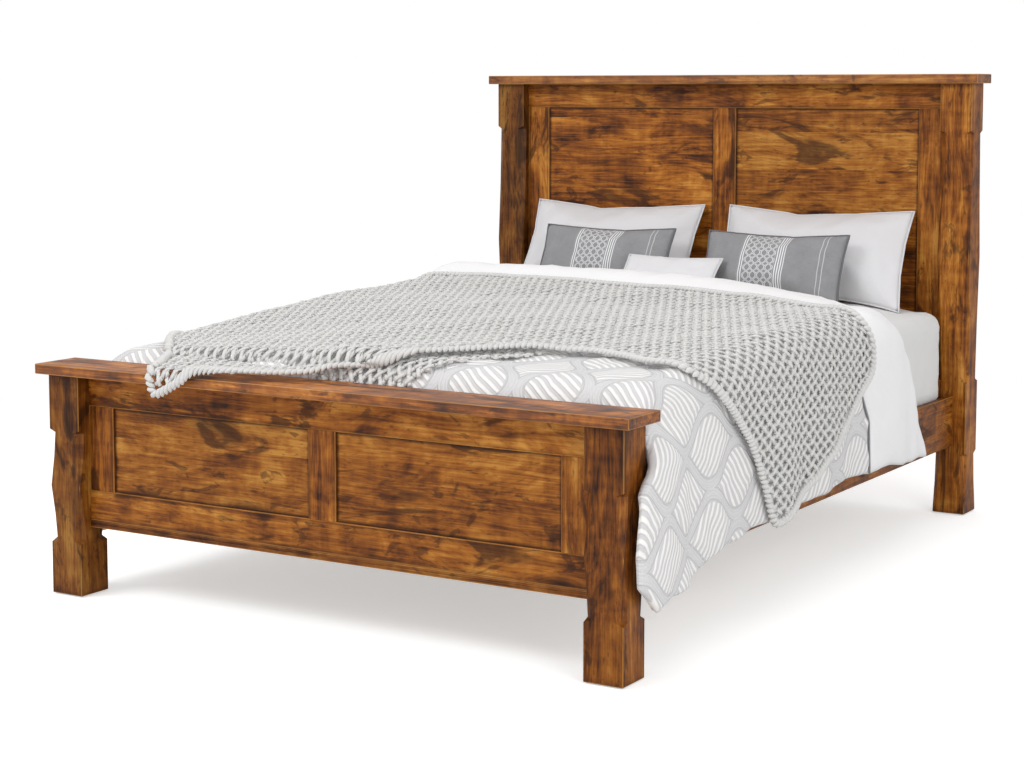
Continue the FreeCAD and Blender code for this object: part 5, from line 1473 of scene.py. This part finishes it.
class BED_OT_set_stage(bpy.types.Operator):
    """Makes the floor, the soft studio light and the camera"""

    bl_idname = "bed.set_stage"
    bl_label = "Stage"

    def execute(self, context):
        scene = context.scene
        scene.view_settings.view_transform = "Standard"
        self.make_floor()
        self.make_world(scene)
        softbox("key", (-2.6, -4.4, 4.6), (0.0, -0.2, 0.4), (3.0, 2.4), 150.0)
        softbox("fill", (4.8, -3.0, 2.6), (0.3, 0.0, 0.5), (2.6, 2.6), 98.0)
        softbox("top", (0.3, 0.6, 4.8), (0.0, 0.2, 0.4), (3.6, 4.2), 36.0)
        self.make_camera(scene)
        return {"FINISHED"}

    def make_floor(self):
        """A pale floor that shows white where it is lit and keeps the bed's shadow."""
        finish = Finish("floor_paint")
        eye = finish.node("ShaderNodeLightPath", out="Is Camera Ray")
        paper = finish.node("ShaderNodeBsdfDiffuse", None, {"Color": (0.82, 0.82, 0.82, 1.0)})
        glow = finish.node("ShaderNodeEmission", None, {"Color": (1.0, 1.0, 1.0, 1.0), "Strength": 0.46})
        lit = finish.node("ShaderNodeAddShader", None, {0: paper, 1: glow})
        x, y, _ = finish.axes()
        away = (x * x + y * y) ** 0.5
        white = finish.node("ShaderNodeEmission", None, {"Color": (1.0, 1.0, 1.0, 1.0), "Strength": 1.0})
        faded = finish.node("ShaderNodeMixShader", None, {0: finish.between(away, 2.3, 3.6), 1: lit, 2: white})
        shown = finish.node("ShaderNodeMixShader", None, {0: eye, 1: paper, 2: faded})
        finish.node("ShaderNodeOutputMaterial", None, {"Surface": shown})
        size = 14.0
        mesh = bpy.data.meshes.new("floor")
        mesh.from_pydata([(-size, -size, 0), (size, -size, 0), (size, size, 0), (-size, size, 0)], [], [(0, 1, 2, 3)])
        mesh.materials.append(finish.material)
        floor = bpy.data.objects.new("floor", mesh)
        bpy.context.scene.collection.objects.link(floor)

    def make_world(self, scene):
        """White where the camera or a gloss looks, soft grey as light."""
        world = bpy.data.worlds.new("studio")
        scene.world = world
        world.use_nodes = True
        tree = world.node_tree
        tree.nodes.clear()
        path = tree.nodes.new("ShaderNodeLightPath")
        seen = tree.nodes.new("ShaderNodeBackground")
        seen.inputs["Strength"].default_value = 1.0
        seen.inputs["Color"].default_value = (1, 1, 1, 1)
        soft = tree.nodes.new("ShaderNodeBackground")
        soft.inputs["Strength"].default_value = 0.66
        soft.inputs["Color"].default_value = (1, 1, 1, 1)
        either = tree.nodes.new("ShaderNodeMixShader")
        out = tree.nodes.new("ShaderNodeOutputWorld")
        tree.links.new(path.outputs["Is Camera Ray"], either.inputs[0])
        tree.links.new(soft.outputs[0], either.inputs[1])
        tree.links.new(seen.outputs[0], either.inputs[2])
        tree.links.new(either.outputs[0], out.inputs[0])

    def make_camera(self, scene):
        """The photograph's viewpoint: from the foot's right corner, a little above the headboard's middle."""
        focal, width = 2079.0, 1024.0
        data = bpy.data.cameras.new("view")
        data.sensor_fit = "HORIZONTAL"
        data.sensor_width = 36.0
        data.lens = 36.0 * focal / width
        data.shift_y = -0.09
        data.clip_end = 60.0
        camera = bpy.data.objects.new("view", data)
        scene.collection.objects.link(camera)
        yaw, tilt = math.radians(31.53), math.radians(5.52)
        camera.location = (2.937, -5.010, 1.294)
        camera.rotation_euler = (math.pi / 2 - tilt, 0.0, yaw)
        scene.camera = camera


class BED_PT_panel(bpy.types.Panel):
    """Lists the bed's makers in the sidebar"""

    bl_idname = "BED_PT_panel"
    bl_label = "Panel bed"
    bl_space_type = "VIEW_3D"
    bl_region_type = "UI"
    bl_category = "Bed"

    def draw(self, context):
        for operator in OPERATORS:
            self.layout.operator(operator.bl_idname)
        for name in BedColours.__annotations__:
            self.layout.prop(context.scene.bed_colours, name)


OPERATORS = (
    BED_OT_set_stage,
    BED_OT_stain_frame,
    BED_OT_finish_base,
    BED_OT_make_mattress,
    BED_OT_make_duvet,
    BED_OT_make_comforter,
    BED_OT_make_throw,
    BED_OT_make_pillows,
)
CLASSES = (BedColours, *OPERATORS, BED_PT_panel)


def register():
    for cls in CLASSES:
        bpy.utils.register_class(cls)
    bpy.types.Scene.bed_colours = bpy.props.PointerProperty(type=BedColours)


def unregister():
    del bpy.types.Scene.bed_colours
    for cls in reversed(CLASSES):
        bpy.utils.unregister_class(cls)


def main():
    register()
    bpy.ops.bed.set_stage()
    bpy.ops.bed.stain_frame()
    bpy.ops.bed.finish_base()
    bpy.ops.bed.make_mattress()
    bpy.ops.bed.make_duvet()
    bpy.ops.bed.make_comforter()
    bpy.ops.bed.make_throw()
    bpy.ops.bed.make_pillows()


if __name__ == "__main__":
    main()
